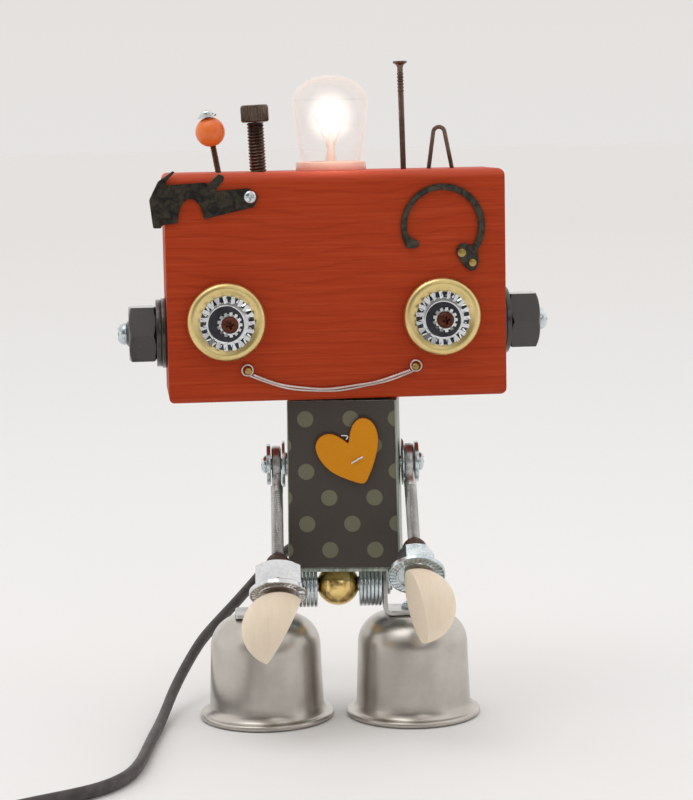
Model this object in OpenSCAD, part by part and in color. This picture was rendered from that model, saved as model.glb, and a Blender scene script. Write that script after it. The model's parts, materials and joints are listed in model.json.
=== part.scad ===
/* [Head] */
// Width of the timber block along the robot's X
head_w = 134; // [110:1:160]
// Depth of the planed timber
head_d = 45; // [38:1:60]
// Height of the planed timber
head_h = 90; // [70:1:110]
// Height of the block's underside above the floor
head_z = 133; // [125:1:145]
// How far the block's middle lies from the neck
head_shift = -0.3; // [-3:0.1:3]
// Turn of the head on its neck at rest, counterclockwise from above
head_turn = 4.5; // [-30:0.5:30]
// Radius of the timber's eased long edges
edge_r = 4; // [1:0.5:8]

/* [Eyes] */
// Distance from the neck's line to the left eye
eye_left_x = -44.3; // [-55:0.1:-35]
// Distance from the neck's line to the right eye
eye_right_x = 40.8; // [35:0.1:55]
// Height of the eyes above the block's underside
eye_z = 32.2; // [25:0.1:45]
// Outer diameter of the gold rosette
eye_ring_d = 31; // [24:0.5:38]

/* [Lamp] */
// Place of the bulb along the head
lamp_x = 0.2; // [-10:0.1:10]
// Largest diameter of the bulb's glass
bulb_d = 30.2; // [24:0.1:32]
// Top of the bulb above the block's underside
bulb_top = 127.8; // [115:0.1:140]
// Diameter of the holder's rim
holder_rim_d = 28.2; // [27:0.1:34]

/* [Torso] */
// Width of the tin box at its bottom
torso_w = 45; // [38:0.5:60]
// Width of the tin box at its top
torso_top_w = 43.6; // [36:0.1:60]
// Depth of the tin box
torso_d = 34; // [26:0.5:45]
// Underside of the tin box above the floor
torso_z = 62.8; // [58:0.1:70]
// Place of the tin box's middle along X
torso_x = 3.7; // [-5:0.1:8]
// Turn of the tin box, clockwise from above
torso_turn = 4.5; // [0:0.5:12]
// Thickness of the tinplate
tin_t = 0.8; // [0.4:0.1:2]

/* [Arms] */
// Height of the shoulder axis
shoulder_z = 104.5; // [95:0.5:115]
// Plane of the left arm
arm_left_x = -24.2; // [-32:0.1:-22]
// Plane of the right arm
arm_right_x = 29.7; // [27:0.1:36]
// Forward raise of the left arm at rest
raise_left = 39; // [35:1:99]
// Forward raise of the right arm at rest
raise_right = 50; // [35:1:99]
// Shoulder axis to the wrist flange's face
arm_len = 60; // [45:1:75]
// Radius of the wooden half ball
hand_r = 14.5; // [10:0.5:18]

/* [Legs] */
// Place of the neck and of the hip axle from the part's middle
axle_y = 22; // [0:0.1:40]
// Height of the hip axle
axle_z = 54.3; // [50:0.1:60]
// Distance of each foot's middle from the neck's plane
foot_x = 30.2; // [28:0.1:40]
// Height of the upturned cup
cup_h = 42; // [36:0.5:50]
// Diameter over the cup's rolled brim
brim_d = 55; // [45:0.5:65]
// Diameter of the brass ball between the legs
ball_d = 17.3; // [14:0.1:20]

/* [Cord] */
// Width of the flat mains cord
cord_d = 5.4; // [4:0.1:8]
// Height at which the cord leaves the tin box
exit_z = 72; // [68:1:90]

/* [Hidden] */
$fn = 48;
sides = [-1, 1];
// Room round a pin in its hole, and between pieces that move past each other
gap = 0.05;
clear = 0.3;
front_y = -head_d / 2;
brass_hue = [0.78, 0.6, 0.28];
zinc_hue = [0.72, 0.76, 0.77];
steel_hue = [0.62, 0.62, 0.61];
dark_hue = [0.16, 0.13, 0.12];
red_hue = [0.7, 0.16, 0.1];
wood_hue = [0.87, 0.76, 0.6];

holder_d = 26.4;
holder_rim_h = 3.6;
holder_depth = 36;
bulb_cap_d = 13.9;
bulb_cap_z = 66.5;
bulb_cap_h = 17;
nipple_d = 10;
nipple_bore = 7;
nipple_top = 27;
wire_d = 3.4;

rosette_t = 4.2;
eye_washer_t = 1;
star_t = 0.8;
shank_d = 3.4;
shank_len = 20;

ear_z = 26.4;
ear_z_right = 28.2;
ear_washer_t = 2.1;
ear_washer_d = 28;
ear_nut_af = 21.6;
ear_nut_left_t = 10.8;
ear_nut_right_t = 12;

plate_t = 1.2;
plate_slant = 6;
latch_x = -34;
latch_z = 80.6;
ring_x = 41.8;
ring_z = 67.7;
ring_r = 16.7;
pin_a = [49, 57.1];
pin_b = [53.3, 53.1];

nail_x = 28.9;
cap_screw_x = -29.4;
bead_x = -45.3;

shoulder_pin_d = 5;
eye_hole_d = 5.2;
eye_outer_d = 15;
eye_thick = 3.8;
rod_d = 5;

axle_d = 6;
hip_washer_d = 18.4;
link_w = 24.4;
link_t = 2;
link_d = 15.6;
link_inner_x = foot_x - link_w / 2;
link_floor = cup_h + link_t;
link_end_x = link_inner_x + link_t + clear;
clip_t = 1;
cup_t = 0.8;
cup_top_r = 10;
cup_shoulder_r = 12.5;
cup_wall_r = 23.4;
foot_screw_d = 5;

floor_lift = cord_d / 2;
coil_x = -112;
coil_y = -168;
coil_inner_r = 19.2;
coil_outer_r = 40.8;
coil_h = 2 * cord_d;
plug_x = -74;
plug_y = coil_y - coil_outer_r + floor_lift;
plug_len = 37;
plug_w = 35.3;
plug_t = 13.7;
relief_len = 22;
// The cord's first point, just inside the end of its strain relief
cord_reach = torso_d / 2 + relief_len - 1;
cord_start_x = torso_x + cord_reach * sin(torso_turn);
cord_start_y = axle_y + cord_reach * cos(torso_turn);
base_lift = 1.2;
base_top = torso_z + base_lift + tin_t;

// The cord's stretch from the tin box to its coil, along its middle
cord_route = [
  [cord_start_x, cord_start_y, exit_z], [6.5, 65.7, 71.9], [5.1, 71.2, 71.5],
  [2.3, 76.1, 70.4], [-1.6, 80.3, 68.5], [-6.3, 83.4, 65.9], [-11.7, 85.2, 62.7],
  [-17, 85.7, 59.1], [-24.1, 85.3, 54.3], [-30.3, 83.9, 49.2], [-36.2, 80.9, 43.2],
  [-42.3, 76, 37.4], [-47.6, 70.5, 32.8], [-53, 64, 28.3], [-58, 57, 23.8],
  [-62.4, 49, 18.4], [-66.3, 40, 12.9], [-69.4, 29, 8.2], [-71.6, 15, 4.6],
  [-73.3, 0, 2.8], [-74.8, -18, 2.7], [-76.1, -36, 2.7], [-77.3, -52, 2.7],
  [-79.6, -66, 2.7], [-83.8, -77, 2.7], [-90.2, -86, 2.7], [-98.6, -93, 2.7],
  [-108.5, -99.5, 2.7], [-119.5, -107, 2.7], [-130.5, -117, 2.7],
  [-139.5, -129.5, 2.7], [-146, -143.5, 2.7], [-149.6, -157, 2.7],
  [coil_x - coil_outer_r + floor_lift, coil_y, 2.7]
];

// ---- places ----

module head_pose() {
  translate([0, axle_y, head_z]) rotate([0, 0, head_turn]) children();
}

module on_face(x, z) {
  translate([x, front_y, z]) rotate([90, 0, 0]) children();
}

module on_top(x, y, lean = 0) {
  translate([x, y, head_h]) rotate([0, lean, 0]) children();
}

module torso_pose() {
  translate([torso_x, axle_y, 0]) rotate([0, 0, -torso_turn]) children();
}

module chest_pose() {
  torso_pose() translate([0, -torso_d / 2, 0]) rotate([90, 0, 0]) children();
}

module arm_pose(side) {
  x = side < 0 ? arm_left_x : arm_right_x;
  raise = side < 0 ? raise_left : raise_right;
  translate([x, axle_y, shoulder_z]) rotate([-raise, 0, 0]) children();
}

module foot_pose(side) {
  translate([side * foot_x, axle_y, 0]) children();
}

// ---- shapes that several pieces share ----

module ring(outer_r, inner_r, h) {
  difference() {
    cylinder(r = outer_r, h = h);
    translate([0, 0, -1]) cylinder(r = inner_r, h = h + 2);
  }
}

module hex_prism(across_flats, h) {
  cylinder(d = across_flats / cos(30), h = h, $fn = 6);
}

// A hexagonal nut with its corners turned down by a cone at each end
module hex_nut(across_flats, bore_r, h) {
  corner_r = across_flats / 2 / cos(30);
  slope = corner_r - across_flats / 2 + 0.2;
  difference() {
    intersection() {
      hex_prism(across_flats, h);
      rotate_extrude() polygon([
        [0, 0], [corner_r - slope, 0], [corner_r + 0.1, slope / 1.7 + 0.1],
        [corner_r + 0.1, h - slope / 1.7 - 0.1], [corner_r - slope, h], [0, h]
      ]);
    }
    translate([0, 0, -1]) cylinder(r = bore_r, h = h + 2);
  }
}

// A low domed head with its flat side down
module pan_head(d, h) {
  intersection() {
    cylinder(d = d, h = h);
    translate([0, 0, h - d * 0.72]) sphere(r = d * 0.72);
  }
}

module cross_recess(d, depth) {
  translate([-d / 2, -d / 10, -depth]) cube([d, d / 5, depth + 1]);
  translate([-d / 10, -d / 2, -depth]) cube([d / 5, d, depth + 1]);
}

module rounded_box(w, d, h, r) {
  for (along = [0, 1])
    translate([-w / 2 + r * along, -d / 2 + r * (1 - along), 0])
      cube([w - 2 * r * along, d - 2 * r * (1 - along), h]);
  for (x = sides, y = sides)
    translate([x * (w / 2 - r), y * (d / 2 - r), 0]) cylinder(r = r, h = h);
}

function unit(v) = v / norm(v);

function heading(line, i) = unit(
  line[min(i + 1, len(line) - 1)] - line[max(i - 1, 0)]
);

function sideways(line, i) = let (t = heading(line, i))
  abs(t[2]) > 0.97 ? unit(cross(t, [0, 1, 0])) : unit(cross(t, [0, 0, 1]));

function ring_point(line, i, a, r) = let (
  t = heading(line, i),
  s = sideways(line, i)
) line[i] + r * (cos(a) * s + sin(a) * cross(s, t));

// A round tube along a line of points
module tube(line, r, count = 10) {
  last = len(line) - 1;
  points = [
    for (i = [0:last], k = [0:count - 1]) ring_point(line, i, 360 * k / count, r)
  ];
  walls = [
    for (i = [0:last - 1], k = [0:count - 1]) let (n = (k + 1) % count)
      each [
        [i * count + k, i * count + n, (i + 1) * count + k],
        [i * count + n, (i + 1) * count + n, (i + 1) * count + k]
      ]
  ];
  ends = [
    [for (k = [count - 1:-1:0]) k],
    [for (k = [0:count - 1]) last * count + k]
  ];
  polyhedron(points, concat(walls, ends));
}

// ---- head ----

module head_block() {
  color(red_hue) head_pose() difference() {
    intersection() {
      translate([head_shift - head_w / 2, 0, head_h / 2]) rotate([0, 90, 0])
        rounded_box(head_h, head_d, head_w, edge_r);
      translate([head_shift, head_d / 2, head_h / 2]) rotate([90, 0, 0])
        rounded_box(head_w, head_h, head_d, 2.5);
    }
    translate([lamp_x, 0, head_h - holder_depth])
      cylinder(d = holder_d + 2 * gap, h = holder_depth + 1);
    translate([0, 0, -1]) cylinder(d = nipple_d + 2 * gap, h = nipple_top + 2);
    translate([0, 0, nipple_top])
      cylinder(d = nipple_bore, h = head_h - holder_depth - nipple_top + 1);
    for (x = [eye_left_x, eye_right_x])
      on_face(x, eye_z) translate([0, 0, -shank_len])
        cylinder(d = shank_d + 2 * gap, h = shank_len + 1);
    for (x = [-36.2, 30]) on_face(x, 12.7) translate([0, 0, -11])
      cylinder(d = 1.5 + 2 * gap, h = 12);
    on_face(latch_x, latch_z) translate([0, 0, -13]) cylinder(d = 3 + 2 * gap, h = 14);
    on_face(pin_b[0], pin_b[1]) translate([0, 0, -13]) cylinder(d = 2 + 2 * gap, h = 14);
    for (x = sides) translate([head_shift, 0, x < 0 ? ear_z : ear_z_right])
      rotate([0, x * 90, 0]) translate([0, 0, head_w / 2 - 22])
        cylinder(d = 6 + 2 * gap, h = 23);
    on_top(cap_screw_x, -5, -2.2) translate([0, 0, -18])
      cylinder(d = 7 + 2 * gap, h = 22);
    on_top(bead_x, -8, -10) translate([0, 0, -15])
      cylinder(d = 2.6 + 2 * gap, h = 18);
    on_top(nail_x, -4, -1.1) translate([0, 0, -20])
      cylinder(d = 2.4 + 2 * gap, h = 23);
    for (x = [39.1, 48.6]) on_top(x, -4) translate([0, 0, -10])
      cylinder(d = 1.7 + 2 * gap, h = 11);
  }
}

module lamp_holder() {
  wall = 0.7;
  color([0.93, 0.9, 0.84]) head_pose() translate([lamp_x, 0, head_h]) difference() {
    union() {
      translate([0, 0, -holder_depth]) cylinder(d = holder_d, h = holder_depth);
      cylinder(d = holder_rim_d, h = holder_rim_h);
    }
    translate([0, 0, -9]) cylinder(d = holder_d - 2 * wall, h = 9 + holder_rim_h + 1);
    translate([0, 0, -holder_depth + 9])
      cylinder(d = bulb_cap_d + 2 * gap, h = holder_depth);
    translate([0, 0, -holder_depth - 1]) cylinder(d = 5, h = holder_depth);
  }
}

module holder_contact() {
  color(brass_hue) head_pose() translate([lamp_x, 0, head_h - holder_depth]) {
    translate([0, 0, 3]) cylinder(d = 5 - 2 * gap, h = 6.6);
  }
}

module head_lead() {
  color([0.2, 0.2, 0.2]) head_pose() translate([lamp_x / 2, 0, nipple_top + 2])
    cylinder(d = wire_d, h = head_h - holder_depth + 2.8 - nipple_top - 2);
}

module ear_stack(side) {
  z = side < 0 ? ear_z : ear_z_right;
  head_pose() translate([head_shift, 0, z]) rotate([0, side * 90, 0])
    translate([0, 0, head_w / 2]) children();
}

module ear_washers(side) {
  color(dark_hue) ear_stack(side) for (i = [0, 1])
    translate([0, 0, i * ear_washer_t]) difference() {
      cylinder(d = ear_washer_d - 2 * i, h = ear_washer_t - 0.05);
      translate([0, 0, -1]) cylinder(d = 6 + 2 * gap, h = ear_washer_t + 2);
    }
}

module ear_nut(side) {
  t = side < 0 ? ear_nut_left_t : ear_nut_right_t;
  color([0.13, 0.1, 0.1]) ear_stack(side) translate([0, 0, 2 * ear_washer_t])
    rotate([0, 0, 90]) {
      hex_nut(ear_nut_af, 3 + gap, t);
      translate([0, 0, t]) ring(4.2, 3 + gap, 1);
    }
}

module ear_screw(side) {
  t = side < 0 ? ear_nut_left_t : ear_nut_right_t;
  top = 2 * ear_washer_t + t + 1;
  color(zinc_hue) ear_stack(side) {
    translate([0, 0, -21]) cylinder(d = 6, h = top + 21);
    difference() {
      translate([0, 0, top]) pan_head(9, 3.4);
      translate([0, 0, top + 3.4]) cross_recess(5, 1.6);
    }
  }
}

module eye_rosette(side) {
  x = side < 0 ? eye_left_x : eye_right_x;
  bead_r = 2.45;
  color([0.72, 0.6, 0.33]) head_pose() on_face(x, eye_z) rotate_extrude($fn = 96) {
    translate([eye_ring_d / 2 - bead_r, bead_r]) circle(r = bead_r);
    translate([shank_d / 2 + gap, 0])
      square([eye_ring_d / 2 - bead_r - shank_d / 2, rosette_t]);
  }
}

// A lock washer with a plain middle and twisted teeth round it
module toothed_washer(r, inner_r, t, teeth, tooth_len) {
  twist = 14;
  difference() {
    union() {
      cylinder(r = r - tooth_len + 0.4, h = t);
      for (i = [0:teeth - 1]) rotate([0, 0, 360 * i / teeth])
        translate([r - tooth_len, -0.9, 0]) rotate([twist, 0, 0]) cube([tooth_len, 1.7, t]);
    }
    translate([0, 0, -1]) cylinder(r = inner_r, h = t + 2);
  }
}

module eye_washers(side) {
  x = side < 0 ? eye_left_x : eye_right_x;
  hole_r = shank_d / 2 + gap;
  t = eye_washer_t;
  head_pose() on_face(x, eye_z) translate([0, 0, rosette_t]) {
    color(zinc_hue) toothed_washer(10.9, hole_r, t, 20, 3);
    color(dark_hue) translate([0, 0, t]) ring(7.3, hole_r, t);
    color(zinc_hue) translate([0, 0, 2 * t]) toothed_washer(4.9, hole_r, star_t, 14, 1.2);
  }
}

module eye_screw(side) {
  x = side < 0 ? eye_left_x : eye_right_x;
  seat = rosette_t + 2 * eye_washer_t + star_t;
  color([0.28, 0.16, 0.12]) head_pose() on_face(x, eye_z) {
    translate([0, 0, -shank_len + 0.5]) cylinder(d = shank_d, h = seat + shank_len - 0.5);
    difference() {
      translate([0, 0, seat]) pan_head(7.2, 2.4);
      translate([0, 0, seat + 2.4]) cross_recess(4.2, 1.4);
    }
  }
}

// Height of the mouth's wire at a place along the head: two half sags
function smile_z(x) = let (
  low_x = -6.6,
  reach = x < low_x ? 29.4 : 36.2
) 3.8 + 7 * pow(abs(x - low_x) / reach, 2);

module mouth_wire() {
  wire_r = 0.45;
  steps = 18;
  loop_r = 2.1;
  for (lift = [0, 0.95]) {
    // The upper strand stops short of the nails, where the loops begin
    start = lift > 0 ? -34.2 : -36;
    end = lift > 0 ? 28 : 29.6;
    line = [
      for (i = [0:steps]) let (x = start + (end - start) * i / steps)
        [x, -1 - lift * 0.25, smile_z(x) + lift]
    ];
    color(zinc_hue) head_pose() translate([0, front_y, 0]) tube(line, wire_r, 8);
  }
  for (x = [-36.2, 30]) color(zinc_hue) head_pose() on_face(x, 12.7)
    translate([0, 0, 1]) rotate_extrude() translate([loop_r, 0]) circle(r = wire_r, $fn = 16);
}

module mouth_nails() {
  for (x = [-36.2, 30]) color(brass_hue) head_pose() on_face(x, 12.7) {
    translate([0, 0, -10]) cylinder(d = 1.5, h = 12);
    translate([0, 0, 1.6]) pan_head(3.4, 1);
  }
}

// The broken latch plate: its left field, the notch, and a tongue to the screw
module latch_outline() {
  notch_r = 5.2;
  difference() {
    union() {
      translate([-71.4, 69.6]) rotate(plate_slant) square([9.8, 16]);
      translate([-64, 79.6]) rotate(4) square([15, 6.4]);
      translate([-69.4, 85.2]) rotate(37) square([8, 1.6]);
      hull() {
        translate([-52.2, 72.6]) square([2, 10.6]);
        translate([latch_x, latch_z]) circle(r = 3.8);
      }
    }
    translate([-57.2, 75.2]) circle(r = notch_r);
    translate([-57.2 - notch_r, 66]) square([2 * notch_r, 9.2]);
    translate([latch_x, latch_z]) circle(r = 1.5 + gap);
  }
}

module latch_plate() {
  finger_turn = -38;
  finger_bend = 24;
  finger_w = 4;
  finger_lift = 0.6;
  color([0.2, 0.17, 0.14]) head_pose() {
    translate([0, front_y, 0]) rotate([90, 0, 0]) linear_extrude(plate_t) latch_outline();
    // The finger that is bent up and away from the timber
    translate([-49.2, front_y - plate_t - finger_lift, 84.6]) rotate([finger_bend, 0, 0])
      rotate([90, 0, 0]) rotate(finger_turn)
        translate([-finger_w / 2, -1.6, -plate_t]) cube([finger_w, 9.4, plate_t]);
  }
}

module latch_screw() {
  color(zinc_hue) head_pose() on_face(latch_x, latch_z) {
    translate([0, 0, -12]) cylinder(d = 3, h = 12 + plate_t);
    difference() {
      translate([0, 0, plate_t]) pan_head(5.2, 1.8);
      translate([0, 0, plate_t + 1.8]) cross_recess(3.2, 1);
    }
  }
}

// A worn open loop: a round tip at one end, and a tab for two pins at the other
module ring_arm() {
  band = 2.5;
  mouth = 40;
  color([0.17, 0.14, 0.12]) head_pose() on_face(0, 0) linear_extrude(1.5) difference() {
    union() {
      difference() {
        translate([ring_x, ring_z]) circle(r = ring_r, $fn = 96);
        translate([ring_x - 0.2, ring_z]) circle(r = ring_r - band, $fn = 96);
        translate([ring_x, ring_z]) polygon([
          [0, 0], mouth * [cos(211), sin(211)], [0, -mouth], mouth * [cos(318), sin(318)]
        ]);
      }
      translate([30.6, 60.9]) circle(r = 1.75);
      hull() {
        translate([49.2, 58]) circle(r = 2.6);
        translate([53, 52.6]) circle(r = 3);
        translate([53.9, 58.4]) circle(r = 1.6);
      }
    }
    translate([pin_a[0], pin_a[1]]) circle(r = 1.5 + gap);
    translate([pin_b[0], pin_b[1]]) circle(r = 1 + gap);
  }
}

module ring_pins() {
  head_pose() {
    color(brass_hue) on_face(pin_a[0], pin_a[1]) {
      cylinder(r = 1.5, h = 1.6);
      translate([0, 0, 1.6]) pan_head(3.4, 0.6);
    }
    color(brass_hue) on_face(pin_b[0], pin_b[1]) {
      translate([0, 0, -12]) cylinder(r = 1, h = 13.6);
      translate([0, 0, 1.6]) pan_head(3, 0.7);
    }
  }
}

module cap_screw() {
  color([0.15, 0.11, 0.1]) head_pose() on_top(cap_screw_x, -5, -2.2) {
    translate([0, 0, -17]) cylinder(d = 7, h = 37);
    difference() {
      translate([0, 0, 19.6]) cylinder(d = 11.1, h = 6.8);
      translate([0, 0, 23]) hex_prism(5.5, 5);
    }
  }
}

module bead_screw() {
  color([0.35, 0.22, 0.15]) head_pose() on_top(bead_x, -8, -10) {
    translate([0, 0, -14]) cylinder(d = 2.6, h = 36.8);
    translate([0, 0, 22.1]) {
      ring(4, 1.35, 0.8);
      translate([0, 0, 0.8]) pan_head(6, 2.2);
    }
  }
}

module bead() {
  bead_r = 5.85;
  color([0.9, 0.4, 0.12]) head_pose() on_top(bead_x, -8, -10) translate([0, 0, 16.3])
    difference() {
      sphere(r = bead_r, $fn = 64);
      cylinder(r = 1.35, h = 20, center = true);
    }
}

module top_nail() {
  color([0.3, 0.2, 0.15]) head_pose() on_top(nail_x, -4, -1.1) {
    translate([0, 0, -19]) cylinder(d = 2.4, h = 61);
    translate([0, 0, 41]) cylinder(d1 = 2.4, d2 = 5.8, h = 1);
    translate([0, 0, 42]) cylinder(d = 5.8, h = 0.8);
  }
}

// An upside-down V of wire: both legs lean in to a small round crown
module hairpin() {
  half = 4.75;
  crown_r = 2.3;
  crown = [-0.4, 14.2];
  from_a = 180 - 8.15;
  to_a = 11.2;
  steps = 8;
  line = [
    [-half, -9, 0], [-half, -0.2, 0],
    for (i = [0:steps]) let (a = from_a + (to_a - from_a) * i / steps)
      [crown[0] + crown_r * cos(a), crown[1] + crown_r * sin(a), 0],
    [half, -0.2, 0], [half, -9, 0]
  ];
  color([0.45, 0.3, 0.22]) head_pose() translate([43.85, -4, head_h])
    rotate([90, 0, 0]) tube(line, 0.85);
}

// ---- bulb ----

module bulb_pose() {
  head_pose() translate([lamp_x, 0, 0]) children();
}

// The glass bulb's outer wall, from its neck to its low round crown
module bulb_profile(inset) {
  r = bulb_d / 2 - inset;
  crown_h = 0.36 * bulb_d;
  belly_z = bulb_top - crown_h;
  neck_r = bulb_cap_d / 2 - 0.3 - inset;
  neck_z = bulb_cap_z + bulb_cap_h;
  polygon([
    [0, neck_z + inset], [neck_r, neck_z + inset], [neck_r + 0.3, neck_z + 2.6],
    [neck_r + 3.6, neck_z + 6.4], [12.2 - inset, neck_z + 10.2],
    [12.9 - inset, neck_z + 14], [14.2 - inset, neck_z + 22],
    for (a = [0:6:90]) [r * cos(a), belly_z + (crown_h - inset) * sin(a)]
  ]);
}

module bulb_glass() {
  wall = 0.8;
  color([0.95, 0.93, 0.88, 0.4]) bulb_pose() rotate_extrude($fn = 64) difference() {
    bulb_profile(0);
    bulb_profile(wall);
  }
}

module bulb_cap() {
  color(brass_hue) bulb_pose() translate([0, 0, bulb_cap_z]) {
    cylinder(d = bulb_cap_d, h = bulb_cap_h);
    translate([0, 0, -2]) cylinder(d1 = 6, d2 = 10, h = 2);
  }
}

module bulb_filament() {
  stem_top = 106.7;
  base_z = bulb_cap_z + bulb_cap_h + 0.8;
  color([1, 0.85, 0.6]) bulb_pose() {
    translate([0, 0, base_z]) cylinder(r1 = 4.5, r2 = 1.6, h = 12);
    translate([0, 0, base_z + 12]) cylinder(r = 1.2, h = stem_top - base_z - 12);
    for (x = sides) translate([x * 1.2, 0, stem_top - 8]) rotate([0, x * 22, 0])
      cylinder(r = 0.35, h = 15);
    translate([-6.6, 0, 112.6]) rotate([0, 90, 0]) cylinder(r = 0.6, h = 13.2);
  }
}

// ---- torso ----

module tin_profile(inset, low) {
  bottom = torso_w / 2 - inset;
  top = torso_top_w / 2 - inset;
  polygon([
    [-bottom, low], [bottom, low],
    [top, head_z - 1 - inset], [-top, head_z - 1 - inset]
  ]);
}

// A tin box whose base is set a little up inside its walls
module torso_shell() {
  room_d = torso_d - 2 * tin_t;
  room_w = torso_w - 2 * tin_t;
  color([0.45, 0.47, 0.44]) difference() {
    torso_pose() difference() {
      translate([0, torso_d / 2, 0]) rotate([90, 0, 0])
        linear_extrude(torso_d) tin_profile(0, torso_z);
      translate([0, room_d / 2, 0]) rotate([90, 0, 0])
        linear_extrude(room_d) tin_profile(tin_t, base_top);
      translate([-room_w / 2, -room_d / 2, torso_z - 1]) cube([room_w, room_d, base_lift + 1]);
      translate([0, torso_d / 2 - 6, exit_z]) rotate([-90, 0, 0])
        cylinder(d = 8 + 2 * gap, h = 10);
    }
    translate([0, axle_y, 120]) cylinder(d = nipple_d + 2 * gap, h = 20);
    translate([0, axle_y, torso_z]) cylinder(d = 4 + 2 * gap, h = 6);
    translate([-40, axle_y, shoulder_z]) rotate([0, 90, 0])
      cylinder(d = shoulder_pin_d + 2 * gap, h = 80);
  }
}

module chest_paper() {
  left_rim = 0.3;
  right_rim = 0.8;
  foot_rim = 1.7;
  bottom = torso_w / 2;
  top = torso_top_w / 2;
  top_z = head_z - 1.2;
  color([0.3, 0.28, 0.27]) chest_pose() linear_extrude(0.4) polygon([
    [left_rim - bottom, torso_z + foot_rim], [bottom - right_rim, torso_z + foot_rim],
    [top - right_rim, top_z], [left_rim - top, top_z]
  ]);
}

// A heart from two full lobes that meet in a round tip, leaning to its left
module chest_heart() {
  // Each lobe's place, its radius, and the bulge below it
  lobes = [[-6.7, 17.8, 5.9, -4.2], [6.6, 18.7, 5.6, 4]];
  lean = 17;
  color([0.85, 0.55, 0.1]) chest_pose() translate([7.8, 98.7, 0.4]) rotate(lean)
    linear_extrude(1.8) for (l = lobes) hull() {
      translate([l[0], l[1]]) circle(r = l[2]);
      translate([l[3], 9.6]) circle(r = 4.9);
      translate([0, 1.7]) circle(r = 1.7);
    }
}

module neck_nipple() {
  color(zinc_hue) translate([0, axle_y, 122])
    ring(nipple_d / 2, nipple_bore / 2, head_z + nipple_top - 122 - 0.3);
}

module neck_washers() {
  color(zinc_hue) translate([0, axle_y, head_z]) {
    translate([0, 0, -1]) ring(9, nipple_d / 2, 0.9);
    translate([0, 0, -1 - tin_t - 2.4]) difference() {
      hex_prism(14, 2.4);
      translate([0, 0, -1]) cylinder(d = nipple_d, h = 5);
    }
  }
}

module brass_ball() {
  color(brass_hue) translate([0, axle_y, axle_z]) difference() {
    sphere(d = ball_d, $fn = 72);
    rotate([0, 90, 0]) cylinder(d = axle_d + 2 * gap, h = 30, center = true);
  }
  // The screw that holds the ball under the tin box, and its collar
  color(zinc_hue) translate([0, axle_y, axle_z + 6]) cylinder(d = 4, h = base_top - axle_z - 5);
  color(zinc_hue) translate([0, axle_y, axle_z + 7.6])
    cylinder(d = 7, h = torso_z + base_lift - axle_z - 7.6);
  color(zinc_hue) translate([0, axle_y, base_top]) pan_head(7, 2.4);
}

module hip_axle() {
  reach = link_end_x + clip_t + 0.8;
  color(steel_hue) translate([-reach, axle_y, axle_z]) rotate([0, 90, 0])
    cylinder(d = axle_d, h = 2 * reach);
}

module hip_washers() {
  start = ball_d / 2 - 0.2;
  pitch = (link_inner_x - clear - start) / 6;
  for (side = sides, i = [0:5]) color(zinc_hue)
    translate([side * (start + (i + 0.5) * pitch), axle_y, axle_z]) rotate([0, 90, 0])
      difference() {
        cylinder(d = hip_washer_d, h = pitch - 0.12, center = true);
        cylinder(d = axle_d + 2 * gap, h = 4, center = true);
      }
}

// Push-on rings that keep the angle brackets on the axle
module axle_clips() {
  for (side = sides) color(zinc_hue) translate([side * link_end_x, axle_y, axle_z])
    rotate([0, side * 90, 0]) ring(4.6, axle_d / 2, clip_t);
}

module shoulder_screws() {
  seat_left = 28.2;
  seat_right = 33.6;
  screw_len = 16;
  for (side = sides) {
    seat = side < 0 ? seat_left : seat_right;
    root = seat - screw_len;
    color(zinc_hue) translate([0, axle_y, shoulder_z]) rotate([0, side * 90, 0]) {
      translate([0, 0, root]) cylinder(d = shoulder_pin_d, h = seat - root);
      difference() {
        translate([0, 0, seat]) pan_head(7.6, 2.2);
        translate([0, 0, seat + 2.2]) cross_recess(4.4, 1.2);
      }
    }
  }
}

module shoulder_washers() {
  // Each washer's place along X, its thickness and its diameter
  washers = [
    [-28.1, 1.6, 16.7], [-21.9, 1.2, 19], [-20.6, 1.4, 10],
    [26.8, 0.7, 19], [31.9, 1.6, 16.7]
  ];
  for (w = washers) color(zinc_hue)
    translate([w[0], axle_y, shoulder_z]) rotate([0, 90, 0]) difference() {
      cylinder(d = w[2], h = w[1]);
      translate([0, 0, -1]) cylinder(d = shoulder_pin_d + 2 * gap, h = 4);
    }
}

// ---- arms ----

// The cast eye at the shoulder and its threaded rod down to the wrist
module eyebolt(side) {
  neck_z = -10.4;
  rod_end = -arm_len + 9;
  color(steel_hue) arm_pose(side) difference() {
    union() {
      rotate([0, 90, 0]) cylinder(d = eye_outer_d, h = eye_thick, center = true);
      // The neck is as flat as the eye, so it passes the shoulder's washers
      intersection() {
        translate([0, 0, neck_z - 0.1]) cylinder(d1 = rod_d, d2 = 8, h = 5);
        translate([-eye_thick / 2, -5, neck_z - 0.1]) cube([eye_thick, 10, 5]);
      }
      translate([0, 0, rod_end]) cylinder(d = rod_d, h = neck_z - rod_end);
    }
    rotate([0, 90, 0]) cylinder(d = eye_hole_d, h = 8, center = true);
  }
}

module wrist_nut(side) {
  across = side < 0 ? 17.7 : 13;
  spin = side < 0 ? 90 : 0;
  color(zinc_hue) arm_pose(side) translate([0, 0, -arm_len]) difference() {
    union() {
      cylinder(d = side < 0 ? 23 : 22.6, h = 2);
      translate([0, 0, 2]) rotate([0, 0, spin]) hex_nut(across, rod_d / 2 + gap, 9.6);
    }
    translate([0, 0, -1]) cylinder(d = rod_d + 2 * gap, h = 14);
  }
}

module wrist_plug(side) {
  color([0.25, 0.15, 0.1]) arm_pose(side) translate([0, 0, -arm_len + 11.6]) difference() {
    intersection() {
      cylinder(d = 10.5, h = 5.5);
      translate([0, 0, -3]) sphere(r = 9.2);
    }
    translate([0, 0, -1]) cylinder(d = rod_d + 2 * gap, h = 8);
  }
}

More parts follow.
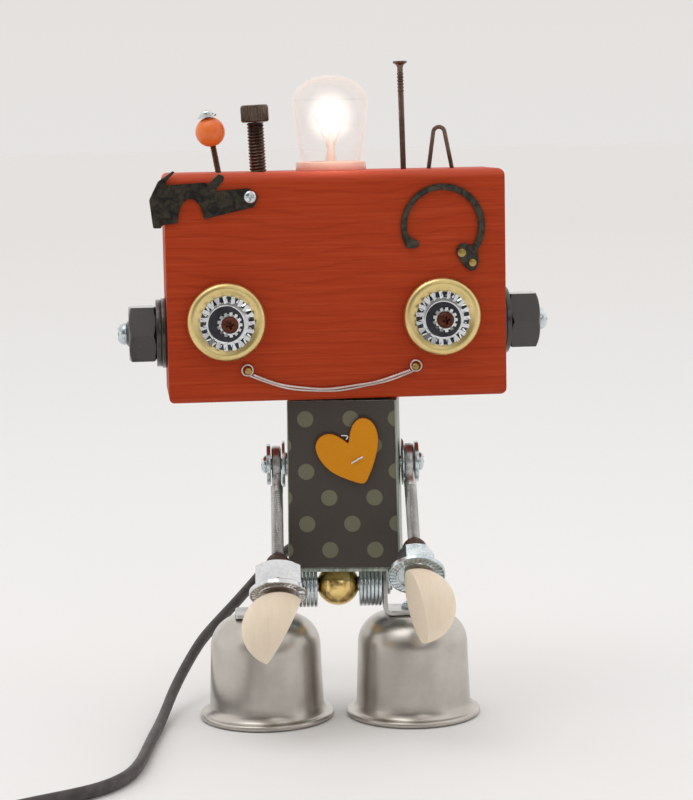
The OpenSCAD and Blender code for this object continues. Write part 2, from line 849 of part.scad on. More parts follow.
// Half a wooden ball with its flat face towards the other hand
module hand(side) {
  flat = side < 0 ? 2 : 1;
  turn = side < 0 ? 19 : 0;
  lean = side < 0 ? 23 : -15;
  reach = hand_r + 6;
  color(wood_hue) arm_pose(side) translate([0, 0, -arm_len - hand_r]) intersection() {
    sphere(r = hand_r, $fn = 72);
    rotate([0, 0, turn]) rotate([0, lean, 0])
      translate([side < 0 ? -reach : -flat, -reach, -reach])
        cube([reach + flat, 2 * reach, 2 * reach]);
    translate([-reach, -reach, -reach]) cube([2 * reach, 2 * reach, reach + hand_r - 0.6]);
  }
}

// ---- legs ----

// An angle bracket: its upright hangs on the axle, its foot lies on the cup
module hip_link(side) {
  half = link_w / 2;
  bend_r = 4;
  upright_x = -side * (half - link_t / 2) - link_t / 2;
  color(steel_hue) foot_pose(side) difference() {
    union() {
      translate([upright_x, -link_d / 2, cup_h + bend_r])
        cube([link_t, link_d, axle_z - cup_h - bend_r]);
      translate([upright_x, 0, axle_z]) rotate([0, 90, 0]) cylinder(d = link_d, h = link_t);
      translate([0, link_d / 2, cup_h + bend_r]) rotate([90, 0, 0]) linear_extrude(link_d) {
        intersection() {
          translate([-side * (half - bend_r), 0]) difference() {
            circle(r = bend_r);
            circle(r = bend_r - link_t);
          }
          translate([-side * (half - bend_r / 2) - bend_r / 2, -bend_r]) square(bend_r);
        }
        translate([(side * bend_r - link_w + bend_r) / 2, -bend_r])
          square([link_w - bend_r, link_t]);
      }
    }
    translate([0, 0, axle_z]) rotate([0, 90, 0])
      cylinder(d = axle_d + 2 * gap, h = link_w + 2, center = true);
    translate([0, 0, cup_h - 1]) cylinder(d = foot_screw_d + 2 * gap, h = 4);
  }
}

// One wall of the upturned cup, from the brim up over the shoulder
module cup_profile(inset) {
  rise = 5.5;
  shoulder = cup_shoulder_r - inset;
  translate([cup_top_r, cup_h - cup_shoulder_r]) intersection() {
    circle(r = shoulder, $fn = 96);
    square([shoulder, shoulder]);
  }
  translate([0, cup_h - cup_shoulder_r - 0.1]) square([cup_top_r, cup_shoulder_r - inset + 0.1]);
  polygon([
    [0, inset < 0.1 ? 1 : -1], [24.6 - inset, inset < 0.1 ? 1 : -1], [cup_wall_r - inset, rise],
    [cup_top_r + shoulder, cup_h - cup_shoulder_r], [0, cup_h - cup_shoulder_r]
  ]);
}

module foot_cup(side) {
  bead_r = 1.2;
  color([0.6, 0.59, 0.58]) foot_pose(side) difference() {
    rotate_extrude($fn = 96) {
      difference() {
        cup_profile(0);
        cup_profile(cup_t);
      }
      polygon([
        [23.4, 1], [24.2, 0.6], [brim_d / 2 - bead_r, 0.6], [brim_d / 2 - bead_r, 1.7],
        [25.4, 2.2], [24.1, 3.4], [23.5, 5], [22.7, 5]
      ]);
      translate([brim_d / 2 - bead_r, bead_r]) circle(r = bead_r);
      // The brim is worn flat where the cup stands on it
      translate([brim_d / 2 - 1.5 * bead_r, 0]) square([bead_r, bead_r]);
    }
    translate([0, 0, cup_h - 3]) cylinder(d = foot_screw_d + 2 * gap, h = 6);
  }
}

module foot_screws(side) {
  nut_t = 4;
  color(zinc_hue) foot_pose(side) {
    translate([0, 0, cup_h - cup_t - nut_t - 3]) cylinder(d = foot_screw_d, h = 3 + nut_t + 2.8);
    translate([0, 0, link_floor]) pan_head(9, 2.6);
    translate([0, 0, cup_h - cup_t - nut_t]) hex_nut(8, foot_screw_d / 2, nut_t);
  }
}

// ---- mains cord ----

module cord_gland() {
  color([0.12, 0.12, 0.12]) torso_pose() translate([0, torso_d / 2, exit_z])
    rotate([-90, 0, 0]) difference() {
      union() {
        translate([0, 0, -4]) cylinder(d = 8, h = 5);
        translate([0, 0, gap]) cylinder(d = 12, h = 3);
        translate([0, 0, 3]) cylinder(d1 = 9.4, d2 = 7.4, h = relief_len - 3);
      }
      translate([0, 0, -5]) cylinder(d = cord_d + 0.5, h = relief_len + 6);
    }
}

module cord() {
  color([0.17, 0.16, 0.16]) tube(cord_route, cord_d / 2, 10);
}

module cord_coil() {
  color([0.17, 0.16, 0.16]) translate([coil_x, coil_y, 0]) rotate_extrude()
    translate([coil_inner_r, 0]) square([coil_outer_r - coil_inner_r, coil_h]);
}

module plug_pose() {
  translate([plug_x, plug_y, 0]) children();
}

module plug_body() {
  plug_neck = 18;
  color([0.12, 0.12, 0.12]) plug_pose() {
    translate([4, -plug_w / 2, 0]) cube([plug_len - 4, plug_w, plug_t]);
    translate([-plug_neck, -4, 1]) cube([plug_neck + 4, 8, 8]);
  }
}

module plug_pins() {
  pin_gap = 18.6;
  for (y = sides) color(brass_hue) plug_pose()
    translate([plug_len, y * pin_gap / 2, plug_t / 2]) rotate([0, 90, 0])
      cylinder(d = 4, h = 19);
}

// ---- sub-parts by name ----

head_block();
lamp_holder();
holder_contact();
head_lead();
ear_washers(-1);  // ear_washers_left
ear_washers(1);  // ear_washers_right
ear_nut(-1);  // ear_nut_left
ear_nut(1);  // ear_nut_right
ear_screw(-1);  // ear_screw_left
ear_screw(1);  // ear_screw_right
eye_rosette(-1);  // eye_rosette_left
eye_rosette(1);  // eye_rosette_right
eye_washers(-1);  // eye_washers_left
eye_washers(1);  // eye_washers_right
eye_screw(-1);  // eye_screw_left
eye_screw(1);  // eye_screw_right
mouth_wire();
mouth_nails();
latch_plate();
latch_screw();
ring_arm();
ring_pins();
cap_screw();
bead_screw();
bead();
top_nail();
hairpin();
bulb_glass();
bulb_cap();
bulb_filament();
torso_shell();
chest_paper();
chest_heart();
neck_nipple();
neck_washers();
brass_ball();
hip_axle();
hip_washers();
shoulder_screws();
shoulder_washers();
axle_clips();
cord_gland();
cord();
cord_coil();
plug_body();
plug_pins();
eyebolt(-1);  // eyebolt_left
wrist_nut(-1);  // wrist_nut_left
wrist_plug(-1);  // wrist_plug_left
hand(-1);  // hand_left
eyebolt(1);  // eyebolt_right
wrist_nut(1);  // wrist_nut_right
wrist_plug(1);  // wrist_plug_right
hand(1);  // hand_right
hip_link(-1);  // hip_link_left
foot_cup(-1);  // foot_cup_left
hip_link(1);  // hip_link_right
foot_cup(1);  // foot_cup_right
foot_screws(-1);  // foot_screws_left
foot_screws(1);  // foot_screws_right
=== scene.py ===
import json
import math

import bmesh
import bpy
from mathutils import Matrix, Vector


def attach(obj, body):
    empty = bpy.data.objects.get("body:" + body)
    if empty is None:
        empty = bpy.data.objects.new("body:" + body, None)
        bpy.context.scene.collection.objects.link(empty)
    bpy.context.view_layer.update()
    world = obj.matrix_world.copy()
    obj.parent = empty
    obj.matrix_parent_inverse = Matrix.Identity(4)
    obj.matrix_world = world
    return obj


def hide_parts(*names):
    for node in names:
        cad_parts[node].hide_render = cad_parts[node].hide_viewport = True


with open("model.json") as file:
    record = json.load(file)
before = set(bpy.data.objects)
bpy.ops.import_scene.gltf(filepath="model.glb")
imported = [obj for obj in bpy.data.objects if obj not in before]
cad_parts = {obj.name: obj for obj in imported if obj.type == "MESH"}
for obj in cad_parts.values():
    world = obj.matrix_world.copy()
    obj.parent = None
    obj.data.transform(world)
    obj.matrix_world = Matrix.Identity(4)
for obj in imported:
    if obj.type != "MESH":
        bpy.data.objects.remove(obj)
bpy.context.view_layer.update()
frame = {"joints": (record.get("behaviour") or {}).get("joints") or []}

MM = 0.001
TAU = 2 * math.pi
JOINT_AT = {j["name"]: Vector(j.get("pos_m", (0, 0, 0))) for j in frame["joints"]}


# ---- places: each matrix turns millimetres in a part's own frame into metres ----

def moved(x, y, z):
    return Matrix.Translation((x, y, z))


def turned(degrees, axis):
    return Matrix.Rotation(math.radians(degrees), 4, axis)


MILLI = Matrix.Scale(MM, 4)
HEAD_TURN = 4.5
HEAD_W, HEAD_D, HEAD_H = 134, 45, 90
HEAD_MIDDLE = -0.3
HEAD = Matrix.Translation(JOINT_AT["head_swivel"]) @ turned(HEAD_TURN, "Z") @ MILLI
AXLE_Y = JOINT_AT["head_swivel"].y / MM
TORSO_X, TORSO_TURN, TORSO_D = 3.7, -4.5, 34
TORSO = MILLI @ moved(TORSO_X, AXLE_Y, 0) @ turned(TORSO_TURN, "Z")
CHEST = TORSO @ moved(0, -TORSO_D / 2, 0) @ turned(90, "X")
RAISE = {"left": 39, "right": 50}
ARM_LEN = 60


def on_face(x, z, lift=0):
    """A frame on the head's front, with its own Z pointing away from the timber."""
    return HEAD @ moved(x, -HEAD_D / 2 - lift, z) @ turned(90, "X")


def on_top(x, y, lean=0):
    return HEAD @ moved(x, y, HEAD_H) @ turned(lean, "Y")


def on_ear(side):
    z = 26.4 if side < 0 else 28.2
    return HEAD @ moved(HEAD_MIDDLE, 0, z) @ turned(side * 90, "Y") @ moved(0, 0, HEAD_W / 2)


def on_arm(name, along=0):
    joint = JOINT_AT["shoulder_" + name]
    return Matrix.Translation(joint) @ turned(-RAISE[name], "X") @ MILLI @ moved(0, 0, -along)


def on_axle(x):
    return MILLI @ moved(x, AXLE_Y, JOINT_AT["hip_left"].z / MM) @ turned(90, "Y")


# ---- camera ----

CAMERA_AT = (-0.016433, -0.871455, 0.238414)
CAMERA_LENS_MM = 99.83
PITCH, YAW, ROLL = 6.908, -1.36, -1.016


def make_camera():
    pitch, yaw, roll = (math.radians(v) for v in (PITCH, YAW, ROLL))
    spin = Matrix.Rotation(yaw, 3, "Z")
    right = spin @ Vector((1, 0, 0))
    ahead = spin @ Vector((0, math.cos(pitch), -math.sin(pitch)))
    up = spin @ Vector((0, math.sin(pitch), math.cos(pitch)))
    right, up = (math.cos(roll) * right + math.sin(roll) * up,
                 math.cos(roll) * up - math.sin(roll) * right)
    data = bpy.data.cameras.new("camera")
    data.lens = CAMERA_LENS_MM
    data.sensor_width = 36
    data.clip_start = 0.05
    camera = bpy.data.objects.new("camera", data)
    turn = Matrix((right, up, -ahead)).transposed().to_4x4()
    camera.matrix_world = Matrix.Translation(CAMERA_AT) @ turn
    bpy.context.scene.collection.objects.link(camera)
    bpy.context.scene.camera = camera


make_camera()


# ---- shader maths ----

class Value:
    """A number in a material. Arithmetic on it adds Math nodes."""

    def __init__(self, tree, socket):
        self.tree = tree
        self.socket = socket

    def math(self, operation, first, second):
        node = self.tree.nodes.new("ShaderNodeMath")
        node.operation = operation
        for place, value in enumerate((first, second)):
            if isinstance(value, Value):
                self.tree.links.new(value.socket, node.inputs[place])
            elif value is not None:
                node.inputs[place].default_value = value
        return Value(self.tree, node.outputs[0])

    def __add__(self, other):
        return self.math("ADD", self, other)

    def __sub__(self, other):
        return self.math("SUBTRACT", self, other)

    def __rsub__(self, other):
        return self.math("SUBTRACT", other, self)

    def __mul__(self, other):
        return self.math("MULTIPLY", self, other)

    def __truediv__(self, other):
        return self.math("DIVIDE", self, other)

    def __pow__(self, other):
        return self.math("POWER", self, other)

    __radd__ = __add__
    __rmul__ = __mul__

    def wrapped(self, span):
        """The value from 0 to span, over and over."""
        return self - self.math("FLOOR", self / span, None) * span

    def clamped(self):
        return self.math("MINIMUM", self.math("MAXIMUM", self, 0), 1)


class Finish:
    """A procedural material around one Principled shader."""

    def __init__(self, name, **constants):
        self.material = bpy.data.materials.new(name)
        self.material.use_nodes = True
        self.tree = self.material.node_tree
        self.shader = self.tree.nodes["Principled BSDF"]
        for words, value in constants.items():
            self.shader.inputs[words.replace("_", " ").title().replace("Ior", "IOR")].default_value = value

    def add(self, kind, settings=None, **sockets):
        node = self.tree.nodes.new(kind)
        for name, value in (settings or {}).items():
            setattr(node, name, value)
        for name, value in sockets.items():
            self.feed(node.inputs[name.replace("_", " ")], value)
        return node

    def feed(self, socket, value):
        if isinstance(value, Value):
            self.tree.links.new(value.socket, socket)
        elif isinstance(value, bpy.types.NodeSocket):
            self.tree.links.new(value, socket)
        else:
            socket.default_value = value

    def place(self, shift=(0, 0, 0), turn=0, stretch=(1, 1, 1)):
        """Object coordinates in millimetres, moved, turned about Z, then stretched."""
        here = self.add("ShaderNodeTexCoord").outputs["Object"]
        scaled = self.add("ShaderNodeMapping", {"vector_type": "POINT"}, Vector=here,
                          Location=[-v for v in shift], Scale=(1 / MM, 1 / MM, 1 / MM))
        spun = self.add("ShaderNodeMapping", Vector=scaled.outputs[0],
                        Rotation=(0, 0, math.radians(-turn)))
        last = self.add("ShaderNodeMapping", Vector=spun.outputs[0], Scale=stretch)
        return last.outputs[0]

    def parts(self, vector):
        split = self.add("ShaderNodeSeparateXYZ", Vector=vector)
        return [Value(self.tree, split.outputs[i]) for i in range(3)]

    def noise(self, vector, scale, detail=3.0, roughness=0.55, distortion=0.0):
        node = self.add("ShaderNodeTexNoise", Vector=vector, Scale=scale, Detail=detail,
                        Roughness=roughness, Distortion=distortion)
        return Value(self.tree, node.outputs["Fac"])

    def mix(self, factor, first, second):
        node = self.tree.nodes.new("ShaderNodeMix")
        node.data_type = "RGBA"
        self.feed(node.inputs[0], factor)
        for place, colour in ((6, first), (7, second)):
            self.feed(node.inputs[place], colour if not isinstance(colour, tuple) else opaque(colour))
        return node.outputs[2]

    def step(self, value, low, high):
        """0 below low, 1 above high, and smooth between."""
        node = self.add("ShaderNodeMapRange", {"interpolation_type": "SMOOTHSTEP"}, Value=value)
        for name, number in (("From Min", low), ("From Max", high)):
            node.inputs[name].default_value = number
        return Value(self.tree, node.outputs[0])

    def facing(self, blend=0.5):
        return Value(self.tree, self.add("ShaderNodeLayerWeight", Blend=blend).outputs["Facing"])

    def bump(self, height, depth_mm, strength=1.0):
        node = self.add("ShaderNodeBump", Height=height, Strength=strength, Distance=depth_mm * MM)
        self.feed(self.shader.inputs["Normal"], node.outputs[0])

    def colour(self, value):
        self.feed(self.shader.inputs["Base Color"], value)

    def rough(self, value):
        self.feed(self.shader.inputs["Roughness"], value)


def srgb(red, green, blue):
    """A colour given in everyday 0 to 255 numbers, as the shader's linear light."""
    return tuple(c / 12.92 / 255 if c <= 10 else ((c / 255 + 0.055) / 1.055) ** 2.4
                 for c in (red, green, blue))


def opaque(colour):
    return (*colour, 1.0)


# ---- finishes ----

def red_stain():
    f = Finish("red_stained_timber", specular_ior_level=0.18)
    at = f.place(turn=HEAD_TURN, shift=(0, AXLE_Y, 0))
    x, y, z = f.parts(at)
    sway = f.noise(f.place(turn=HEAD_TURN, stretch=(0.012, 0.02, 0.02)), 1.0, 2, 0.5)
    ripple = f.noise(f.place(turn=HEAD_TURN, stretch=(0.05, 0.1, 0.1)), 1.0, 2, 0.5)
    rings = (z + sway * 26 + ripple * 1.5 + y * 0.2) / 4.6
    phase = rings.wrapped(1.0)
    late = f.step(phase, 0.6, 0.93) * f.step(phase, 1.0, 0.96)
    fibre = f.noise(f.place(turn=HEAD_TURN, stretch=(0.03, 0.9, 1.7)), 1.0, 5, 0.62)
    blot = f.noise(at, 0.03, 3, 0.5)
    warm = f.mix(blot, srgb(163, 49, 8), srgb(178, 59, 20))
    grain = f.mix(late * 0.2, warm, srgb(126, 30, 12))
    worn = f.mix(f.step(fibre, 0.4, 0.75) * 0.4, grain, srgb(200, 84, 46))
    # Painted light: the top band of the head, from 218.5 mm up, is lightened towards pink for the bulb's warm
    # glow on the block's top.
    painted_bulb_glow = f.step(z, 218.5, 223) * 0.5
    f.colour(f.mix(painted_bulb_glow, worn, srgb(216, 98, 74)))
    f.rough(0.5 + fibre * 0.14)
    f.bump(late * -0.3 + fibre * 0.5, 0.08)
    return f.material


def metal(name, light, dark, roughness, scale=0.8, tarnish=0.25, bump=0.02, patch=0.06):
    """Bare or plated metal: fine brushing, broad tarnish and small pits."""
    f = Finish(name, metallic=1.0)
    at = f.place()
    cloud = f.noise(at, patch, 4, 0.6)
    fine = f.noise(at, scale, 4, 0.6)
    f.colour(f.mix(f.step(cloud * 0.7 + fine * 0.3, 0.35, 0.7) * tarnish * 2, light, dark))
    f.rough(roughness + fine * 0.12 + cloud * 0.08 - 0.08)
    f.bump(fine, bump)
    return f.material


def spun_metal(name, middle, light, dark, roughness):
    """Sheet metal spun on a lathe: rings of fine scratches round its own axis."""
    f = Finish(name, metallic=1.0)
    at = f.place(shift=middle)
    x, y, z = f.parts(at)
    level = f.add("ShaderNodeCombineXYZ", Z=z)
    lines = f.noise(level.outputs[0], 3.4, 6, 0.75)
    cloud = f.noise(at, 0.07, 4, 0.6)
    scuff = f.noise(at, 0.9, 5, 0.7)
    f.colour(f.mix(f.step(cloud, 0.3, 0.75), light, dark))
    f.rough(roughness + lines * 0.1 + scuff * 0.05)
    f.bump(lines * 0.8 + scuff * 0.2, 0.02)
    return f.material


def mottled_steel(name, dark, light, roughness):
    """Dark hardened steel with brown and grey stains from heat."""
    f = Finish(name, metallic=0.55)
    at = f.place()
    stain = f.noise(at, 0.28, 5, 0.7, 0.6)
    rust = f.noise(at, 0.6, 4, 0.65)
    base = f.mix(f.step(stain, 0.35, 0.68), dark, light)
    f.colour(f.mix(f.step(rust, 0.6, 0.78) * 0.5, base, srgb(106, 62, 34)))
    f.rough(roughness + stain * 0.25)
    f.bump(rust, 0.05)
    return f.material


def black_enamel():
    f = Finish("black_enamel", coat_weight=0.8, coat_roughness=0.1)
    at = f.place()
    worn = f.noise(at, 0.5, 5, 0.65)
    f.colour(f.mix(f.step(worn, 0.62, 0.8) * 0.7, srgb(34, 28, 26), srgb(104, 88, 78)))
    f.rough(0.26 + worn * 0.2)
    f.bump(f.noise(at, 0.9, 3), 0.06)
    return f.material


def dotted_paper():
    f = Finish("dotted_paper", roughness=0.62, specular_ior_level=0.3)
    at = f.place(shift=(TORSO_X, AXLE_Y, 0), turn=TORSO_TURN)
    x, y, z = f.parts(at)
    pitch_x, pitch_z, dot_r = 18.1, 21.2, 3.25
    spots = None
    for across, up in ((-14.6, 124.7), (-14.6 + pitch_x / 2, 124.7 - pitch_z / 2)):
        dx = (x - across + pitch_x / 2).wrapped(pitch_x) - pitch_x / 2
        dz = (z - up + pitch_z / 2).wrapped(pitch_z) - pitch_z / 2
        spot = 1 - f.step((dx * dx + dz * dz) ** 0.5, dot_r - 0.12, dot_r + 0.12)
        spots = spot if spots is None else spots + spot
    fibre = f.noise(f.place(stretch=(1, 1, 0.5)), 2.5, 4, 0.6)
    shade = f.noise(at, 0.03, 2)
    ground = f.mix(shade, srgb(66, 60, 54), srgb(76, 70, 65))
    inked = f.mix(spots, ground, srgb(112, 112, 91))
    f.colour(f.mix(f.step(fibre, 0.4, 0.8) * 0.15, inked, srgb(94, 89, 82)))
    f.bump(fibre, 0.02)
    return f.material


def mustard_enamel():
    f = Finish("mustard_enamel", roughness=0.45, specular_ior_level=0.25)
    at = f.place()
    speck = f.noise(at, 2.4, 4, 0.7)
    f.colour(f.mix(f.step(speck, 0.4, 0.75), srgb(214, 136, 0), srgb(224, 148, 8)))
    f.bump(speck, 0.04)
    return f.material


def pale_maple():
    f = Finish("pale_maple", roughness=0.5, specular_ior_level=0.35, subsurface_weight=0.08)
    fibre = f.noise(f.place(stretch=(0.9, 0.2, 0.2)), 1.1, 4, 0.6)
    rings = f.noise(f.place(stretch=(0.22, 0.05, 0.05)), 1.0, 2)
    base = f.mix(rings, srgb(246, 232, 212), srgb(236, 217, 192))
    f.colour(f.mix(f.step(fibre, 0.45, 0.8) * 0.15, base, srgb(212, 184, 150)))
    f.bump(fibre, 0.03)
    return f.material


def tinplate():
    f = Finish("grey_green_tinplate", metallic=0.6)
    at = f.place(stretch=(1, 1, 0.06))
    streak = f.noise(at, 0.7, 5, 0.7)
    f.colour(f.mix(f.step(streak, 0.35, 0.7), srgb(124, 132, 122), srgb(190, 196, 186)))
    f.rough(0.35 + streak * 0.25)
    f.bump(streak, 0.03)
    return f.material


def plain_skin(name, light, dark, roughness, scale=0.6, bump=0.03, **constants):
    """Moulded plastic, rubber or lacquer with a faint uneven colour and grain."""
    f = Finish(name, **constants)
    at = f.place()
    cloud = f.noise(at, scale * 0.2, 3)
    fine = f.noise(at, scale * 3, 3, 0.6)
    f.colour(f.mix(f.step(cloud, 0.35, 0.7), light, dark))
    f.rough(roughness + fine * 0.12)
    f.bump(fine, bump)
    return f.material


def clear_glass():
    f = Finish("clear_glass_painted_glow", roughness=0.04, coat_weight=0.3)
    edge = f.facing(0.35)
    haze = f.noise(f.place(), 0.15, 2)
    # Painted light: the clear glass is tinted warm towards its rim and given a faint emission, for the bulb's
    # glow caught in it.
    f.colour(f.mix(edge, srgb(255, 240, 230), srgb(240, 214, 200)))
    f.feed(f.shader.inputs["Alpha"], (edge ** 2.4 * 0.5 + haze * 0.04 + 0.02).clamped())
    f.feed(f.shader.inputs["Emission Color"], f.mix(edge, srgb(255, 232, 220), srgb(252, 214, 196)))
    f.shader.inputs["Emission Strength"].default_value = 0.1
    return f.material


def glow(name, colour, strength, power=None, most=1.0):
    """Hot light: solid, or a cloud that thins out towards its rim."""
    f = Finish(name)
    at = f.place()
    flicker = f.noise(at, 0.4, 1)
    f.feed(f.shader.inputs["Emission Color"], f.mix(flicker * 0.2, colour, srgb(255, 250, 246)))
    f.colour(f.mix(flicker, colour, srgb(255, 250, 246)))
    f.shader.inputs["Emission Strength"].default_value = strength
    if power:
        f.feed(f.shader.inputs["Alpha"], ((1 - f.facing(0.5)) ** power * most).clamped())
    return f.material


FINISH = {
    "timber": red_stain(),
    "gold": metal("satin_gold_plate", srgb(230, 208, 148), srgb(204, 180, 114), 0.3, 0.5, 0.3),
    "zinc": metal("bright_zinc_plate", srgb(222, 230, 234), srgb(150, 166, 172), 0.2, 1.2, 0.4, 0.03, 0.2),
    "chrome": metal("worn_chrome", srgb(226, 228, 230), srgb(182, 184, 188), 0.12, 0.8, 0.3),
    "steel": metal("rolled_steel", srgb(196, 196, 194), srgb(140, 138, 134), 0.3, 1.0, 0.4),
    "brass": metal("polished_brass", srgb(246, 216, 146), srgb(204, 158, 78), 0.2, 0.5, 0.4, 0.03, 0.12),
    "dull_brass": metal("dull_brass_nail", srgb(186, 160, 96), srgb(132, 106, 58), 0.34, 0.9, 0.4),
    "warm_wire": metal("drawn_warm_wire", srgb(222, 208, 204), srgb(176, 158, 152), 0.3, 1.2, 0.4),
    # Painted shade: dark blue-grey for the shade in the gaps between a toothed washer's teeth.
    "painted_gap_shade": metal("blue_grey_painted_gap_shade", srgb(74, 84, 92), srgb(44, 50, 56), 0.4, 1.2, 0.5),
    "brown_screw": metal("browned_screw", srgb(112, 66, 52), srgb(66, 38, 30), 0.42, 1.0, 0.5),
    "rusty_steel": metal("browned_steel", srgb(126, 104, 92), srgb(74, 56, 48), 0.34, 0.9, 0.5, 0.04),
    "black_steel": metal("blacked_steel", srgb(114, 98, 88), srgb(60, 50, 45), 0.34, 1.2, 0.5, 0.04),
    "disc": metal("dark_fibre_disc", srgb(78, 78, 84), srgb(48, 48, 54), 0.45, 2.2, 0.5, 0.05),
    "mottled": mottled_steel("mottled_hard_steel", srgb(34, 30, 27), srgb(78, 72, 60), 0.3),
    "black_latch": mottled_steel("black_latch_steel", srgb(22, 20, 18), srgb(66, 60, 48), 0.24),
    # Painted shade: this dark red-brown stands for the shade on the heart's sides.
    "heart_painted_shade": plain_skin("heart_side_painted_shade", srgb(84, 36, 22), srgb(56, 24, 18), 0.5, 1.0),
    "enamel": black_enamel(),
    "paper": dotted_paper(),
    "mustard": mustard_enamel(),
    "maple": pale_maple(),
    "tin": tinplate(),
    # Painted light: the white holder ring is tinted pink for the bulb's warm glow on it.
    "porcelain": plain_skin("porcelain_painted_glow", srgb(252, 212, 196), srgb(246, 198, 180), 0.25,
                            specular_ior_level=0.5),
    "orange": plain_skin("orange_lacquer", srgb(238, 120, 44), srgb(226, 96, 34), 0.3, coat_weight=0.2),
    "cord": plain_skin("dark_cord_jacket", srgb(78, 72, 72), srgb(60, 55, 56), 0.48, 1.2),
    "black_plastic": plain_skin("black_moulding", srgb(34, 33, 34), srgb(24, 24, 25), 0.4, 1.0),
    "brown_cap": plain_skin("brown_fibre_cap", srgb(84, 58, 46), srgb(48, 34, 30), 0.5, 2.2, 0.12),
    "glass": clear_glass(),
    "filament": glow("white_hot_wire", srgb(255, 240, 226), 4.0),
    "core": glow("lamp_core", srgb(255, 248, 242), 1.2, 2.2),
    "halo": glow("lamp_halo", srgb(255, 240, 232), 1.0, 5.0, 0.45),
    "lead": plain_skin("glowing_support", srgb(236, 222, 214), srgb(226, 200, 188), 0.3),
}
for label, side in (("left", -1), ("right", 1)):
    FINISH["cup_" + label] = spun_metal("spun_steel_cup_" + label, (side * 30.2, AXLE_Y, 0),
                                        srgb(198, 193, 186), srgb(182, 177, 170), 0.23)


# ---- meshes ----

def piece(name, shape, place, finish, body, stands_for=(), crease=38):
    """A finished object from (points, faces): merged, faces outwards, smooth but for creases."""
    points, faces = shape
    mesh = bpy.data.meshes.new(name)
    mesh.from_pydata([place @ Vector(p) for p in points], [], faces)
    work = bmesh.new()
    work.from_mesh(mesh)
    bmesh.ops.remove_doubles(work, verts=work.verts, dist=1e-6)
    bmesh.ops.recalc_face_normals(work, faces=work.faces)
    work.to_mesh(mesh)
    work.free()
    return dressed(bpy.data.objects.new(name, mesh), finish, body, stands_for, crease)


def dressed(obj, finish, body, stands_for=(), crease=38):
    bpy.context.scene.collection.objects.link(obj)
    obj.data.materials.clear()
    obj.data.materials.append(FINISH[finish])
    obj.data.shade_smooth()
    obj.data.set_sharp_from_angle(angle=math.radians(crease))
    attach(obj, body)
    if stands_for:
        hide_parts(*stands_for)
    return obj


def joined(*shapes):
    points, faces = [], []
    for shape in shapes:
        start = len(points)
        points += shape[0]
        faces += [[start + i for i in face] for face in shape[1]]
    return points, faces


def shifted(shape, matrix):
    return [tuple(matrix @ Vector(p)) for p in shape[0]], shape[1]


def rounded(corners, radius, steps=4, closed=True):
    """The outline with each corner cut round; radius is one number, or one for each corner."""
    out = []
    count = len(corners)
    for i, corner in enumerate(corners):
        r = radius if not isinstance(radius, (list, tuple)) else radius[i]
        here = Vector(corner)
        if r <= 0 or (not closed and i in (0, count - 1)):
            out.append(tuple(here))
            continue
        back = Vector(corners[i - 1]) - here
        on = Vector(corners[(i + 1) % count]) - here
        cut = min(r, back.length * 0.45, on.length * 0.45)
        first, last = here + back.normalized() * cut, here + on.normalized() * cut
        for k in range(steps + 1):
            t = k / steps
            out.append(tuple(first * (1 - t) ** 2 + here * 2 * t * (1 - t) + last * t ** 2))
    return out


def arc(middle, r, start, end, count):
    """Points on a round stretch, by angles in degrees."""
    return [(middle[0] + r * math.cos(math.radians(start + (end - start) * k / count)),
             middle[1] + r * math.sin(math.radians(start + (end - start) * k / count)))
            for k in range(count + 1)]


def lathe(profile, count=72, closed=False):
    """A shape turned about Z. A radius may be a function of the angle, for hexes and slots."""
    points, faces, rows = [], [], []
    for r, z in profile:
        if r == 0:
            rows.append([len(points)] * count)
            points.append((0, 0, z))
            continue
        rows.append(list(range(len(points), len(points) + count)))
        for k in range(count):
            a = TAU * k / count
            size = r(a) if callable(r) else r
            points.append((size * math.cos(a), size * math.sin(a), z))
    pairs = list(zip(rows, rows[1:])) + ([(rows[-1], rows[0])] if closed else [])
    for low, high in pairs:
        for k in range(count):
            n = (k + 1) % count
            ring = []
            for i in (low[k], low[n], high[n], high[k]):
                if i not in ring:
                    ring.append(i)
            if len(ring) > 2:
                faces.append(ring)
    return points, faces


def hexagon(across, spin=0):
    """The radius of a hexagon at an angle, by its width across the flats."""
    return lambda a: across / 2 / math.cos((a + spin + TAU / 12) % (TAU / 6) - TAU / 12)


def cross_slot(half_len, half_wide):
    def radius(a):
        c, s = max(abs(math.cos(a)), 1e-6), max(abs(math.sin(a)), 1e-6)
        return max(min(half_len / c, half_wide / s), min(half_len / s, half_wide / c))
    return radius


def nut_shape(across, bore_r, height, spin=0, count=96):
    """A hexagonal nut: its corners are turned down by a cone at both ends."""
    side = hexagon(across, spin)
    corner = across / 2 / math.cos(math.pi / 6)
    face_r = across / 2 - 0.25
    rise = (corner - face_r) * 0.55
    rows = [(bore_r, 0.5), (bore_r + 0.5, 0), (face_r, 0)]
    levels = [rise * k / 4 for k in range(1, 5)]
    levels += [height - z for z in reversed(levels)]
    for z in levels:
        edge = face_r + min(z, height - z) / rise * (corner - face_r)
        rows.append((lambda a, edge=edge: min(side(a), edge + 0.02), z))
    rows += [(face_r, height), (bore_r + 0.5, height), (bore_r, height - 0.5)]
    return lathe(rows, count, closed=True)


def washer_shape(outer_r, inner_r, height, edge=0.25):
    corners = [(inner_r, 0), (outer_r, 0), (outer_r, height), (inner_r, height)]
    return lathe(rounded(corners, edge, 3), 72, closed=True)


